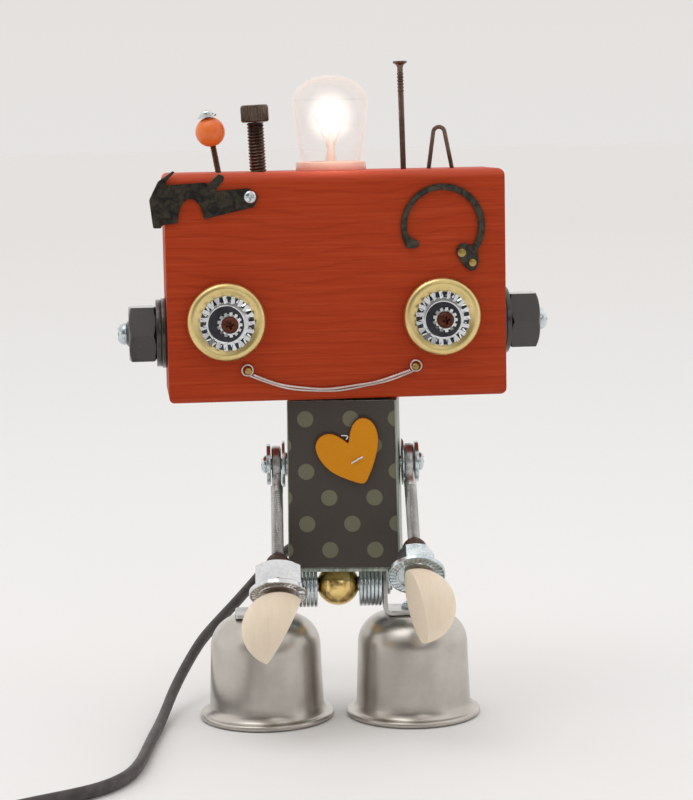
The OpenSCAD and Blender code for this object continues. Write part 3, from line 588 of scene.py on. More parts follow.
def pan_head_shape(r, height, slot_r=0, slot_deep=0.0):
    """A domed screw head on its flat side, with a cross-shaped recess."""
    rows = [(0, 0), (r * 0.98, 0), (r, height * 0.22)]
    for k in range(1, 6):
        bend = k / 6 * math.pi / 2
        rows.append((r * math.cos(bend) ** 0.55, height * (0.22 + 0.78 * math.sin(bend) ** 1.2)))
    if slot_r:
        rows += [(cross_slot(slot_r, slot_r * 0.24), height * 0.985),
                 (cross_slot(slot_r * 0.72, slot_r * 0.17), height - slot_deep)]
        rows.append((0, height - slot_deep * 1.15))
    else:
        rows.append((0, height))
    return lathe(rows, 80)


def sweep(path, outline, closed_ends=True, flat=None):
    """The outline carried along the path without twisting; flat is the way its width starts."""
    path = [Vector(p) for p in path]
    points, faces = [], []
    size = len(outline)
    last = len(path) - 1
    side = None
    for i, here in enumerate(path):
        ahead = (path[min(i + 1, last)] - path[max(i - 1, 0)]).normalized()
        if side is None:
            side = Vector(flat) if flat else Vector((0, 0, 1)).cross(ahead)
            if side.length < 1e-3:
                side = Vector((1, 0, 0))
        side = (side - ahead * side.dot(ahead)).normalized()
        up = ahead.cross(side)
        points += [tuple(here + side * u + up * v) for u, v in outline]
    for i in range(last):
        for k in range(size):
            n = (k + 1) % size
            faces.append([i * size + k, i * size + n, (i + 1) * size + n, (i + 1) * size + k])
    if closed_ends:
        faces.append(list(range(size)))
        faces.append([last * size + k for k in range(size)])
    return points, faces


def round_outline(r, count=12):
    return [(r * math.cos(TAU * k / count), r * math.sin(TAU * k / count)) for k in range(count)]


def smooth_path(points, steps):
    """A Catmull-Rom curve through the points."""
    points = [Vector(p) for p in points]
    ends = [points[0] * 2 - points[1]] + points + [points[-1] * 2 - points[-2]]
    out = []
    for a, b, c, d in zip(ends, ends[1:], ends[2:], ends[3:]):
        for k in range(steps):
            t = k / steps
            out.append(0.5 * (2 * b + (c - a) * t + (2 * a - 5 * b + 4 * c - d) * t * t
                              + (3 * b - a - 3 * c + d) * t ** 3))
    return out + [points[-1]]


def plate_shape(outline, thick, edge=0.2):
    """A flat plate with softened edges."""
    work = bmesh.new()
    ring = [work.verts.new((x, y, 0)) for x, y in outline]
    base = work.faces.new(ring)
    if base.normal.z > 0:
        base.normal_flip()
    made = bmesh.ops.extrude_face_region(work, geom=[base])["geom"]
    bmesh.ops.translate(work, vec=(0, 0, thick), verts=[g for g in made if isinstance(g, bmesh.types.BMVert)])
    rims = [e for e in work.edges if abs(e.verts[0].co.z - e.verts[1].co.z) < 1e-6]
    bmesh.ops.bevel(work, geom=rims, offset=edge, segments=2, affect="EDGES", clamp_overlap=True)
    bmesh.ops.triangulate(work, faces=[f for f in work.faces if len(f.verts) > 4])
    points = [tuple(v.co) for v in work.verts]
    work.verts.index_update()
    faces = [[v.index for v in f.verts] for f in work.faces]
    work.free()
    return points, faces


def block_shape(wide, deep, high, edge, steps=3):
    """A rounded block that stands on z = 0 in the middle of its footprint."""
    work = bmesh.new()
    bmesh.ops.create_cube(work, size=1.0)
    for v in work.verts:
        v.co = Vector((v.co.x * wide, v.co.y * deep, (v.co.z + 0.5) * high))
    bmesh.ops.bevel(work, geom=list(work.edges), offset=edge, segments=steps, affect="EDGES", profile=0.5)
    work.verts.index_update()
    shape = [tuple(v.co) for v in work.verts], [[v.index for v in f.verts] for f in work.faces]
    work.free()
    return shape


# ---- geometry nodes: what repeats along a line, round a circle or in a helix ----

class Grower:
    """A Geometry Nodes tree that makes one piece from named sizes."""

    def __init__(self, name, **sizes):
        self.tree = bpy.data.node_groups.new(name, "GeometryNodeTree")
        self.tree.interface.new_socket("Geometry", in_out="OUTPUT", socket_type="NodeSocketGeometry")
        self.names = {}
        for label, value in sizes.items():
            kind = "NodeSocketInt" if isinstance(value, int) else "NodeSocketFloat"
            socket = self.tree.interface.new_socket(label, in_out="INPUT", socket_type=kind)
            socket.default_value = value
            self.names[label] = socket.identifier
        coat = self.tree.interface.new_socket("Finish", in_out="INPUT", socket_type="NodeSocketMaterial")
        self.names["Finish"] = coat.identifier
        self.given = self.tree.nodes.new("NodeGroupInput")

    def size(self, label):
        return self.given.outputs[label]

    def add(self, kind, settings=None, **sockets):
        node = self.tree.nodes.new(kind)
        for name, value in (settings or {}).items():
            setattr(node, name, value)
        for name, value in sockets.items():
            self.feed(node.inputs[name.replace("_", " ")], value)
        return node

    def feed(self, socket, value):
        if isinstance(value, bpy.types.NodeSocket):
            self.tree.links.new(value, socket)
        else:
            socket.default_value = value

    def sum(self, operation, first, second=0.0):
        node = self.tree.nodes.new("ShaderNodeMath")
        node.operation = operation
        self.feed(node.inputs[0], first)
        self.feed(node.inputs[1], second)
        return node.outputs[0]

    def finish(self, geometry):
        real = self.add("GeometryNodeRealizeInstances", Geometry=geometry)
        coat = self.add("GeometryNodeSetMaterial", Geometry=real.outputs[0], Material=self.size("Finish"))
        out = self.tree.nodes.new("NodeGroupOutput")
        self.tree.links.new(coat.outputs[0], out.inputs["Geometry"])
        return self

    def grow(self, finish, **sizes):
        """The tree's result for these sizes, in millimetres, as (points, faces)."""
        seed = bpy.data.objects.new("seed", bpy.data.meshes.new("seed"))
        bpy.context.scene.collection.objects.link(seed)
        modifier = seed.modifiers.new("grow", "NODES")
        modifier.node_group = self.tree
        for label, value in sizes.items():
            modifier[self.names[label]] = value
        modifier[self.names["Finish"]] = FINISH[finish]
        bpy.context.view_layer.update()
        graph = bpy.context.evaluated_depsgraph_get()
        made = bpy.data.meshes.new_from_object(seed.evaluated_get(graph))
        shape = [tuple(v.co) for v in made.vertices], [list(p.vertices) for p in made.polygons]
        seed.modifiers.remove(modifier)
        bpy.data.objects.remove(seed)
        bpy.data.meshes.remove(made)
        return shape


def thread_grower():
    """A screw thread: a grid rolled into a helix of ridges and closed at both ends."""
    g = Grower("screw_thread", Radius=2.5, Length=40.0, Pitch=0.8, Depth=0.45, Around=28, Rows=200)
    grid = g.add("GeometryNodeMeshGrid", Size_X=TAU, Size_Y=g.size("Length"),
                 Vertices_X=g.size("Around"), Vertices_Y=g.size("Rows"))
    place = g.add("ShaderNodeSeparateXYZ", Vector=g.add("GeometryNodeInputPosition").outputs[0])
    x, y = place.outputs[0], place.outputs[1]
    turns = g.sum("SUBTRACT", g.sum("DIVIDE", y, g.size("Pitch")), g.sum("DIVIDE", x, TAU))
    tooth = g.sum("ABSOLUTE", g.sum("SUBTRACT", g.sum("MULTIPLY", g.sum("FRACT", turns), 2.0), 1.0))
    ridge = g.sum("SUBTRACT", g.size("Radius"), g.sum("MULTIPLY", tooth, g.size("Depth")))
    end = g.sum("SUBTRACT", g.sum("MULTIPLY", g.size("Length"), 0.5), 0.001)
    inside = g.sum("LESS_THAN", g.sum("ABSOLUTE", y), end)
    r = g.sum("MULTIPLY", ridge, inside)
    where = g.add("ShaderNodeCombineXYZ", X=g.sum("MULTIPLY", r, g.sum("COSINE", x)),
                  Y=g.sum("MULTIPLY", r, g.sum("SINE", x)),
                  Z=g.sum("ADD", y, g.sum("MULTIPLY", g.size("Length"), 0.5)))
    rolled = g.add("GeometryNodeSetPosition", Geometry=grid.outputs["Mesh"], Position=where.outputs[0])
    closed = g.add("GeometryNodeMergeByDistance", Geometry=rolled.outputs[0], Distance=0.002)
    return g.finish(closed.outputs[0])


def tooth_grower():
    """Bars set round a circle like spokes, each twisted about its own length."""
    g = Grower("ring_of_teeth", Count=20, Radius=9.4, Long=3.0, Wide=1.6, Thick=0.9, Twist=0.4, Skew=0.0)
    circle = g.add("GeometryNodeMeshCircle", Vertices=g.size("Count"), Radius=g.size("Radius"))
    size = g.add("ShaderNodeCombineXYZ", X=g.size("Long"), Y=g.size("Wide"), Z=g.size("Thick"))
    bar = g.add("GeometryNodeMeshCube", Size=size.outputs[0])
    twist = g.add("ShaderNodeCombineXYZ", X=g.size("Twist"), Z=g.size("Skew"))
    leaned = g.add("GeometryNodeTransform", Geometry=bar.outputs[0], Rotation=twist.outputs[0])
    place = g.add("ShaderNodeSeparateXYZ", Vector=g.add("GeometryNodeInputPosition").outputs[0])
    angle = g.sum("ARCTAN2", place.outputs[1], place.outputs[0])
    turn = g.add("ShaderNodeCombineXYZ", Z=angle)
    set_out = g.add("GeometryNodeInstanceOnPoints", Points=circle.outputs[0],
                    Instance=leaned.outputs[0], Rotation=turn.outputs[0])
    return g.finish(set_out.outputs[0])


def stack_grower():
    """Rings threaded on one line, such as washers on an axle or the grips on a nail."""
    g = Grower("stack_of_rings", Count=6, Pitch=1.6, Outer=9.2, Inner=3.05, Thick=1.5)
    middle = g.sum("MULTIPLY", g.sum("ADD", g.size("Outer"), g.size("Inner")), 0.5)
    wide = g.sum("SUBTRACT", g.size("Outer"), g.size("Inner"))
    line = g.add("GeometryNodeCurvePrimitiveCircle", Resolution=56, Radius=middle)
    section = g.add("GeometryNodeCurvePrimitiveQuadrilateral", Width=wide, Height=g.size("Thick"))
    soft = g.add("GeometryNodeFilletCurve", {"mode": "POLY"}, Curve=section.outputs[0],
                 Radius=g.sum("MULTIPLY", g.size("Thick"), 0.28), Count=3)
    ring = g.add("GeometryNodeCurveToMesh", Curve=line.outputs[0], Profile_Curve=soft.outputs[0])
    gap = g.add("ShaderNodeCombineXYZ", Z=g.size("Pitch"))
    row = g.add("GeometryNodeMeshLine", Count=g.size("Count"), Offset=gap.outputs[0])
    set_out = g.add("GeometryNodeInstanceOnPoints", Points=row.outputs[0], Instance=ring.outputs[0])
    return g.finish(set_out.outputs[0])


THREADS = thread_grower()
TEETH = tooth_grower()
STACK = stack_grower()


def thread_shape(finish, r, length, pitch, depth=None, around=28):
    rows = int(length / pitch * 8) + 2
    return THREADS.grow(finish, Radius=r, Length=float(length), Pitch=pitch,
                        Depth=depth or pitch * 0.55, Around=around, Rows=rows)


# ---- the mains cord, first of all, because its place is checked ----

CORD_D = 0.0054
EXIT_Z = 72
CORD_ROUTE = [
    (0.0065, 0.0657, 0.0719), (0.0051, 0.0712, 0.0715), (0.0023, 0.0761, 0.0704),
    (-0.0016, 0.0803, 0.0685), (-0.0063, 0.0834, 0.0659), (-0.0117, 0.0852, 0.0627),
    (-0.017, 0.0857, 0.0591), (-0.0241, 0.0853, 0.0543), (-0.0303, 0.0839, 0.0492),
    (-0.0362, 0.0809, 0.0432), (-0.0423, 0.076, 0.0374), (-0.0476, 0.0705, 0.0328),
    (-0.053, 0.064, 0.0283), (-0.058, 0.057, 0.0238), (-0.0624, 0.049, 0.0184),
    (-0.0663, 0.040, 0.0129), (-0.0694, 0.029, 0.0082), (-0.0716, 0.015, 0.0046),
    (-0.0733, 0, 0.0028), (-0.0748, -0.018, 0.0027), (-0.0761, -0.036, 0.0027),
    (-0.0773, -0.052, 0.0027), (-0.0796, -0.066, 0.0027), (-0.0838, -0.077, 0.0027),
    (-0.0902, -0.086, 0.0027), (-0.0986, -0.093, 0.0027), (-0.1085, -0.0995, 0.0027),
    (-0.1195, -0.107, 0.0027), (-0.1305, -0.117, 0.0027), (-0.1395, -0.1295, 0.0027),
    (-0.146, -0.1435, 0.0027), (-0.1496, -0.157, 0.0027),
]
COIL_MIDDLE = Vector((-0.112, -0.168, 0))
COIL_OUTER, COIL_INNER = 0.0381, 0.0219
COIL_TURNS, DOWN_TURNS, RISE_TURNS = 7.25, 3.3, 0.6
COIL_STEPS = 26
PLUG_AT = (-74, -206.1)


def coil_points():
    """Two layers of turns: inwards on the table, up, and outwards over them."""
    out = []
    for k in range(int(COIL_TURNS * COIL_STEPS) + 1):
        t = k / COIL_STEPS
        inwards = min(t / DOWN_TURNS, 1)
        up = min(max((t - DOWN_TURNS) / RISE_TURNS, 0), 1)
        outwards = max(t - DOWN_TURNS - RISE_TURNS, 0) / (COIL_TURNS - DOWN_TURNS - RISE_TURNS)
        r = COIL_OUTER - (COIL_OUTER - COIL_INNER) * (inwards - outwards)
        z = CORD_D * (0.5 + up * up * (3 - 2 * up))
        a = math.pi + TAU * t
        out.append(COIL_MIDDLE + Vector((r * math.cos(a), r * math.sin(a), z)))
    return out


def make_cord():
    start = [TORSO @ Vector((0, TORSO_D / 2 + reach, EXIT_Z)) for reach in (4, 12, 21)]
    coil = coil_points()
    tail = [coil[-1] + Vector((0.009, -0.0001, -0.0008)), coil[-1] + Vector((0.019, 0, -0.0025)),
            Vector((PLUG_AT[0] * MM, PLUG_AT[1] * MM, 0.005))]
    path = smooth_path(start + CORD_ROUTE + coil + tail, 3)
    half = CORD_D / 2
    outline = []
    for k in range(20):
        a = TAU * k / 20
        pinch = 1 - 0.16 * math.exp(-((abs(math.cos(a)) / 0.3) ** 2))
        outline.append((half * math.cos(a), (half * 0.84) * math.sin(a) * pinch))
    cord = piece("mains_cord", sweep(path, outline), Matrix.Identity(4), "cord", "torso",
                 ["cord", "cord_coil"], 60)
    return cord, path


cord_piece, cord_path = make_cord()


# ---- cord ends ----

def gland_shape():
    """The strain relief: a collar, and a taper with rings cut into it."""
    rows = [(2.95, -4), (4, -4), (4, 0.4), (6, 0.4), (6, 2.5), (5.5, 3), (4.7, 3)]
    rings = 6
    for k in range(rings):
        z = 4.5 + k * 2.7
        r = 4.7 - (z - 3) / 19
        rows += [(r, z), (r - 0.7, z + 0.15), (r - 0.75, z + 0.95), (r - 0.1, z + 1.1)]
    rows += [(3.6, 21.4), (3.4, 22), (2.95, 22)]
    return lathe(rows, 48, closed=True)


def plug_shape():
    """A moulded plug: a rounded body, three grip ribs on each side, and a neck with rings."""
    body = shifted(block_shape(13.7, 35.3, 33, 3.4, 4), moved(4, 0, 6.85) @ turned(90, "Y"))
    neck_rows = [(3.4, -18), (3.7, -17.6)]
    for k in range(4):
        z = -16 + k * 4
        neck_rows += [(3.9, z), (3.3, z + 0.4), (3.3, z + 1.2), (4, z + 1.6)]
    neck_rows += [(4, 5), (0, 5)]
    neck = shifted(lathe([(0, -18)] + neck_rows, 32), moved(0, 0, 5) @ turned(90, "Y"))
    ribs = [shifted(block_shape(2.2, 1.6, 9, 0.7, 2), moved(x, y, 2.4))
            for x in (13, 18.5, 24) for y in (-17.1, 17.1)]
    return joined(body, neck, *ribs)


def pin_shape():
    return lathe([(0, 0), (2, 0), (2, 17.6), (1.5, 18.7), (0.8, 19), (0, 19)], 24)


PLUG = MILLI @ moved(PLUG_AT[0], PLUG_AT[1], 0)
gland = piece("cord_gland_relief", gland_shape(), TORSO @ moved(0, TORSO_D / 2, EXIT_Z) @ turned(-90, "X"),
              "black_plastic", "torso", ["cord_gland"])
plug = piece("mains_plug", plug_shape(), PLUG, "black_plastic", "torso", ["plug_body"], 50)
pins = piece("mains_plug_pins",
             joined(*[shifted(pin_shape(), moved(37, y, 6.85) @ turned(90, "Y")) for y in (-9.3, 9.3)]),
             PLUG, "brass", "torso", ["plug_pins"])


# ---- head ----

def make_ears():
    for name, side, thick in (("left", -1, 10.8), ("right", 1, 12)):
        ear = on_ear(side)
        body = "head"
        stack = joined(washer_shape(14, 3.05, 2.05, 0.35),
                       shifted(washer_shape(13.5, 3.05, 2.05, 0.35), moved(0, 0, 2.1)))
        piece("ear_washer_pair_" + name, stack, ear, "enamel", body, ["ear_washers_" + name])
        nut = joined(nut_shape(21.6, 3.05, thick),
                     shifted(lathe([(3.05, 0), (5.4, 0), (4.9, 0.5), (4.2, 1), (3.05, 1)], 48, True),
                             moved(0, 0, thick)))
        piece("ear_hex_nut_" + name, nut, ear @ moved(0, 0, 4.2), "enamel", body, ["ear_nut_" + name],
              30)
        top = 4.2 + thick + 1
        screw = joined(lathe([(0, -21), (2.4, -21), (3, -20), (3, top), (0, top)], 40),
                       shifted(pan_head_shape(4.5, 3.4, 2.5, 1.6), moved(0, 0, top)))
        piece("ear_pan_screw_" + name, screw, ear, "zinc", body, ["ear_screw_" + name])


def rosette_shape():
    """A pressed ring: a full rolled edge that slopes gently in to the washers' flat seat."""
    rim = arc((13.05, 2.45), 2.45, -90, 84, 14)
    rows = [(1.75, 0)] + rim + [(12.6, 4.78), (11.9, 4.5), (11.3, 4.22), (10.8, 4.08), (10.2, 4.1),
                                (9.6, 4.2), (1.75, 4.2)]
    return lathe(rows, 96, closed=True)


def make_eyes():
    # How far each loose washer and its screw hang from the middle of the gold ring
    hang = {"left": ((0.2, -0.4), (-0.4, -0.5), (1.0, -0.8)),
            "right": ((0, -0.5), (-0.1, -0.9), (0.6, -1.0))}
    for name, x in (("left", -44.3), ("right", 40.8)):
        eye = on_face(x, 32.2)
        large, middle, little = (eye @ moved(*place, 0) for place in hang[name])
        piece("eye_gold_ring_" + name, rosette_shape(), eye, "gold", "head", ["eye_rosette_" + name])
        # Painted shade: a dark blue-grey plate under the toothed washer stands for the shade in the gaps
        # between its teeth.
        shade_plate = washer_shape(10.5, 1.75, 0.3, 0.1)
        piece("eye_teeth_painted_shade_plate_" + name, shade_plate, large @ moved(0, 0, 4.2), "painted_gap_shade", "head",
              ["eye_washers_" + name])
        bars = TEETH.grow("chrome", Count=19, Radius=9.35, Long=2.9, Wide=1.75, Thick=0.5, Twist=0.5,
                          Skew=0.16)
        chips = TEETH.grow("chrome", Count=23, Radius=9.6, Long=1.9, Wide=0.8, Thick=0.4, Twist=-0.6,
                           Skew=-0.35)
        big = joined(shifted(washer_shape(8.3, 1.75, 0.5, 0.1), moved(0, 0, 0.3)),
                     shifted(bars, moved(0, 0, 0.62)), shifted(chips, moved(0, 0, 0.6)))
        piece("eye_toothed_washer_" + name, big, large @ moved(0, 0, 4.2), "chrome", "head", (),
              25)
        disc = lathe([(1.75, 0), (7.3, 0), (7.3, 0.6), (7.1, 0.85), (1.75, 0.85)], 72, closed=True)
        piece("eye_dark_disc_" + name, disc, middle @ moved(0, 0, 5.2), "disc", "head", ())
        rim = lathe([(7.0, 0.5), (7.42, 0.5), (7.42, 0.9), (7.25, 1.0), (7.0, 0.92)], 72, closed=True)
        piece("eye_disc_rim_" + name, rim, middle @ moved(0, 0, 5.2), "chrome", "head", ())
        points = TEETH.grow("chrome", Count=13, Radius=4.2, Long=1.35, Wide=1.3, Thick=0.4, Twist=0.4,
                            Skew=0.14)
        small = joined(washer_shape(4.1, 1.75, 0.5, 0.08), shifted(points, moved(0, 0, 0.42)))
        piece("eye_star_washer_" + name, small, little @ moved(0, 0, 6.1), "chrome", "head", (),
              25)
        screw = joined(lathe([(0, -19.5), (1.2, -19.5), (1.7, -18), (1.7, 7), (0, 7)], 24),
                       shifted(pan_head_shape(3.4, 2.4, 2.0, 1.5), moved(0, 0, 7)))
        piece("eye_screw_head_" + name, screw, little @ turned(12, "Z"), "brown_screw", "head",
              ["eye_screw_" + name])


def smile_z(x):
    """The height of the sagging wire: two half curves that meet at the chin."""
    reach = 29.4 if x < -6.6 else 36.2
    return 3.8 + 7 * ((x + 6.6) / reach) ** 2


def make_mouth():
    face = HEAD @ moved(0, -HEAD_D / 2, 0)
    strands = []
    for lift, wobble, first, last in ((0, 0.0, -36, 29.6), (0.95, 1.3, -34.2, 28)):
        line = []
        for k in range(61):
            x = first + (last - first) * k / 60
            line.append((x, -1 - lift * 0.25, smile_z(x) + lift + 0.13 * math.sin(k * 0.34 + wobble)))
        strands.append(sweep(line, round_outline(0.44, 10)))
    for x in (-36.2, 30):
        side = 1 if x < 0 else -1
        loop = [(x - side * 0.3 + 2.1 * math.cos(a), -0.9 - 0.5 * k / 24, 12.9 + 2.1 * math.sin(a))
                for k in range(31) for a in [side * TAU * (k / 24) - math.pi / 2]]
        strands.append(sweep(loop, round_outline(0.44, 10), flat=(0, -1, 0)))
    piece("mouth_twin_wire", joined(*strands), face, "warm_wire", "head", ["mouth_wire"], 60)
    nail = lathe([(0, -10), (0.75, -8.6), (0.75, 1.6), (1.3, 1.7), (1.4, 1.95), (1.15, 2.35),
                  (0.6, 2.58), (0, 2.6)], 28)
    both = joined(*[shifted(nail, moved(x, 0, 12.5) @ turned(90, "X")) for x in (-36.2, 30)])
    piece("mouth_brass_nails", both, face, "dull_brass", "head", ["mouth_nails"])


LATCH_OUTLINE = [
    (-66.6, 85.8), (-51.1, 86.6), (-48.4, 83.2), (-34.3, 84.0), (-30.5, 80.8), (-32.5, 76.7), (-52.0, 72.4),
    (-52.8, 76.1), (-53.7, 78.0), (-55.5, 80.0), (-57.4, 80.5), (-59.3, 79.6), (-61.0, 77.3),
    (-61.8, 74.5), (-62.1, 71.2), (-68.3, 70.4), (-68.7, 69.2), (-71.8, 69.2), (-72.2, 72.3),
    (-73.1, 80.3), (-69.4, 87.4), (-68.9, 87.7), (-63.7, 91.3), (-62.9, 90.8), (-66.3, 87.4),
]


def make_latch():
    face = on_face(0, 0)
    finger = plate_shape(rounded([(-1.9, -1.2), (1.9, -1.2), (1.7, 5.6), (0.6, 7.2), (-1.7, 6.4)], 0.6, 3),
                         1.1, 0.22)
    finger = shifted(finger, moved(-49.2, 84.6, 1.8) @ turned(24, "X") @ turned(-41, "Z"))
    fold = sweep([(-72.6, 80.4, 1.25), (-69.3, 86.9, 1.25), (-68.7, 87.4, 1.25), (-63.5, 90.9, 1.25)],
                 round_outline(0.42, 8))
    plate = plate_shape(rounded(LATCH_OUTLINE, 0.7, 3)[::-1], 1.2, 0.25)
    piece("latch_broken_plate", joined(plate, finger, fold), face, "black_latch", "head",
          ["latch_plate"], 30)
    screw = joined(lathe([(0, -12), (1.5, -10), (1.5, 1.2), (0, 1.2)], 24),
                   shifted(pan_head_shape(2.6, 1.8, 1.6, 1.0), moved(0, 0, 1.2)))
    piece("latch_cross_screw", screw, face @ moved(-34, 80.6, 0), "zinc", "head", ["latch_screw"])


def ring_arm_outline():
    """A worn open loop: a blunt tip at one end, and a tab for its two pins at the other."""
    outer = arc((41.8, 67.7), 16.7, -36, 210, 60)
    tip = [(27.8, 59.3), (30.0, 59.1), (32.2, 60.1), (32.0, 62.0), (29.6, 63.2)]
    inner = arc((41.6, 67.7), 14.2, 196, -35, 56)
    tab = [(50.6, 60.9), (48.4, 60.5), (46.8, 58.4), (47.4, 55.6), (50.4, 51.3), (52.6, 49.6),
           (54.7, 50.4), (55.9, 53.2), (55.6, 56.2)]
    return rounded(outer + tip + inner[1:] + tab, 0.4, 2)


def make_ring():
    face = on_face(0, 0)
    piece("ring_arm_loop", plate_shape(ring_arm_outline(), 1.5, 0.3), face, "mottled", "head",
          ["ring_arm"], 30)
    big = lathe([(0, 0.2), (1.5, 0.2), (1.5, 1.6), (1.7, 1.62), (1.65, 1.95), (1.1, 2.2), (0, 2.25)], 28)
    small = lathe([(0, -12), (1, -11), (1, 1.6), (1.5, 1.62), (1.45, 2.0), (0.9, 2.28), (0, 2.3)], 28)
    piece("ring_arm_rivets", joined(shifted(big, moved(49, 57.1, 0)), shifted(small, moved(53.3, 53.1, 0))),
          face, "dull_brass", "head", ["ring_pins"])


def knurled(r, deep, count):
    return lambda a: r - deep * abs(2 * ((a * count / TAU) % 1) - 1)


def make_top_screws():
    socket = hexagon(5.5)
    head = [(0, 0), (4.9, 0), (knurled(5.5, 0.28, 30), 0.5), (knurled(5.55, 0.3, 30), 5.6),
            (5.3, 6.4), (4.9, 6.8), (socket, 6.8), (socket, 3.6), (0, 3.4)]
    cap = joined(thread_shape("black_steel", 3.5, 36.6, 1.25, 0.62, 32),
                 shifted(lathe(head, 120), moved(0, 0, 36.6)))
    piece("cap_screw_threaded", cap, on_top(-29.4, -5, -2.2) @ moved(0, 0, -17), "black_steel", "head",
          ["cap_screw"], 30)
    lean = on_top(-45.3, -8, -10)
    stem = thread_shape("rusty_steel", 1.3, 36.6, 0.7, 0.32, 20)
    piece("bead_screw_threaded", stem, lean @ moved(0, 0, -14), "rusty_steel", "head", ["bead_screw"],
          30)
    cap = joined(washer_shape(4, 1.25, 0.8, 0.2), shifted(pan_head_shape(3, 2.2, 1.8, 1.1), moved(0, 0, 0.8)))
    piece("bead_screw_head", cap, lean @ moved(0, 0, 22.1), "chrome", "head", ())
    ball = [(1.35, -5.65)] + [(5.85 * math.cos(math.radians(a)), 5.85 * math.sin(math.radians(a)))
                              for a in range(-72, 73, 6)] + [(1.35, 5.65)]
    piece("orange_wood_bead", lathe(ball, 64, True), lean @ moved(0, 0, 16.3), "orange", "head", ["bead"])


def nail_shape():
    """A cut nail: grip rings below a thin flat head."""
    rows = [(0, -19), (0.4, -18), (1.1, -14), (1.15, 30)]
    for k in range(6):
        z = 30.6 + k * 1.35
        rows += [(1.12, z), (1.34, z + 0.25), (1.34, z + 0.6), (1.1, z + 0.85)]
    rows += [(1.15, 40.2), (1.5, 41.2), (2.75, 42), (2.9, 42.2), (2.85, 42.6), (2.5, 42.8), (0, 42.8)]
    return lathe(rows, 32)


def hairpin_path():
    """An upside-down V of wire: both legs lean in to a small round crown."""
    crown = arc((-0.4, 14.2), 2.3, 171.85, 11.2, 16)
    line = [(-4.75, -9), (-4.75, -0.2)] + crown + [(4.75, -0.2), (4.75, -9)]
    return [Vector((x, 0, z)) for x, z in line]


def make_pins():
    piece("top_nail_ringed", nail_shape(), on_top(28.9, -4, -1.1), "rusty_steel", "head", ["top_nail"],
          35)
    piece("hairpin_wire", sweep(hairpin_path(), round_outline(0.85, 14), flat=(0, 1, 0)), on_top(43.85, -4),
          "rusty_steel", "head", ["hairpin"], 60)


# ---- lamp ----

LAMP_X = 0.2
GLASS_R = 15.1


def glass_rows(inset):
    """The bulb's wall from its neck to its low round crown."""
    r, rise = GLASS_R - inset, 0.72 * GLASS_R
    belly = 127.8 - rise
    neck = [(6.65, 83.5), (6.95, 86.1), (8.2, 88.2), (10.25, 90.0), (12.2, 93.6), (12.9, 97.6), (14.1, 105.8)]
    rows = [(x - inset, z) for x, z in neck]
    rows += [(r * math.cos(math.radians(a)), belly + (rise - inset) * math.sin(math.radians(a)))
             for a in range(0, 90, 6)]
    return [tuple(p)[:2] for p in smooth_path([(x, z, 0) for x, z in rows], 2)] + [(0, belly + rise - inset)]


def make_lamp():
    lamp = HEAD @ moved(LAMP_X, 0, 0)
    outside, inside = glass_rows(0), glass_rows(0.6)
    piece("bulb_clear_glass", lathe(outside + inside[::-1], 72), lamp, "glass", "bulb", ["bulb_glass"],
          60)
    screw = [(0, 64.5), (3, 64.5), (5, 66.3)]
    for k in range(5):
        z = 67.2 + k * 3
        screw += [(6.2, z), (6.9, z + 1.1), (6.9, z + 1.7), (6.2, z + 2.8)]
    piece("bulb_screw_cap", lathe(screw + [(6.6, 83.2), (6.3, 83.5), (0, 83.5)], 56), lamp, "brass", "bulb",
          ["bulb_cap"])
    stem = lathe([(0, 84.3), (4.5, 84.3), (3.2, 88), (1.9, 96.3), (1.3, 99), (1.2, 106), (0.9, 106.9),
                  (0, 107)], 32)
    wires = []
    for side in (-1, 1):
        wires.append([(side * 1.2, 0, 98.7), (side * 2.6, 0, 103), (side * 6.6, 0, 112.6)])
        wires.append([(side * 0.4, 0.4 * side, 106.5), (side * 1.5, 0.8 * side, 110),
                      (side * 2.2, 0, 112.4)])
    supports = [sweep(smooth_path(line, 4), round_outline(0.3, 8)) for line in wires]
    piece("bulb_stem_supports", joined(stem, *supports), lamp, "lead", "bulb", ["bulb_filament"],
          50)
    turns, coil = 14, []
    for k in range(turns * 10 + 1):
        t = k / (turns * 10)
        a = t * turns * TAU
        bow = 1.8 * math.sin(math.pi * t)
        coil.append((-6.6 + 13.2 * t, 0.55 * math.cos(a), 112.6 + bow + 0.55 * math.sin(a)))
    piece("bulb_coiled_filament", sweep(coil, round_outline(0.18, 6)), lamp, "filament", "bulb", (),
          60)
    for name, wide, tall, middle, finish in (("bulb_glow_core", 4.6, 6.4, 111, "core"),
                                             ("bulb_glow_halo", 11.8, 12.6, 111.6, "halo")):
        rows = [(wide * math.cos(math.radians(a)), middle + tall * math.sin(math.radians(a)))
                for a in range(-84, 85, 6)]
        cloud = lathe([(0, middle - tall)] + rows + [(0, middle + tall)], 48)
        piece(name, cloud, lamp, finish, "bulb", (), 60)
    holder = [(6.99, -27), (13.2, -27), (13.2, 0), (13.9, 0.02), (14.1, 0.4), (14.1, 2.9), (13.75, 3.45),
              (13.2, 3.6), (12.8, 3.5), (12.5, 3.1), (12.5, -9), (6.99, -9)]
    piece("holder_rim_ring", lathe(holder, 80, True), lamp @ moved(0, 0, HEAD_H), "porcelain", "head",
          ["lamp_holder"])


# ---- torso ----

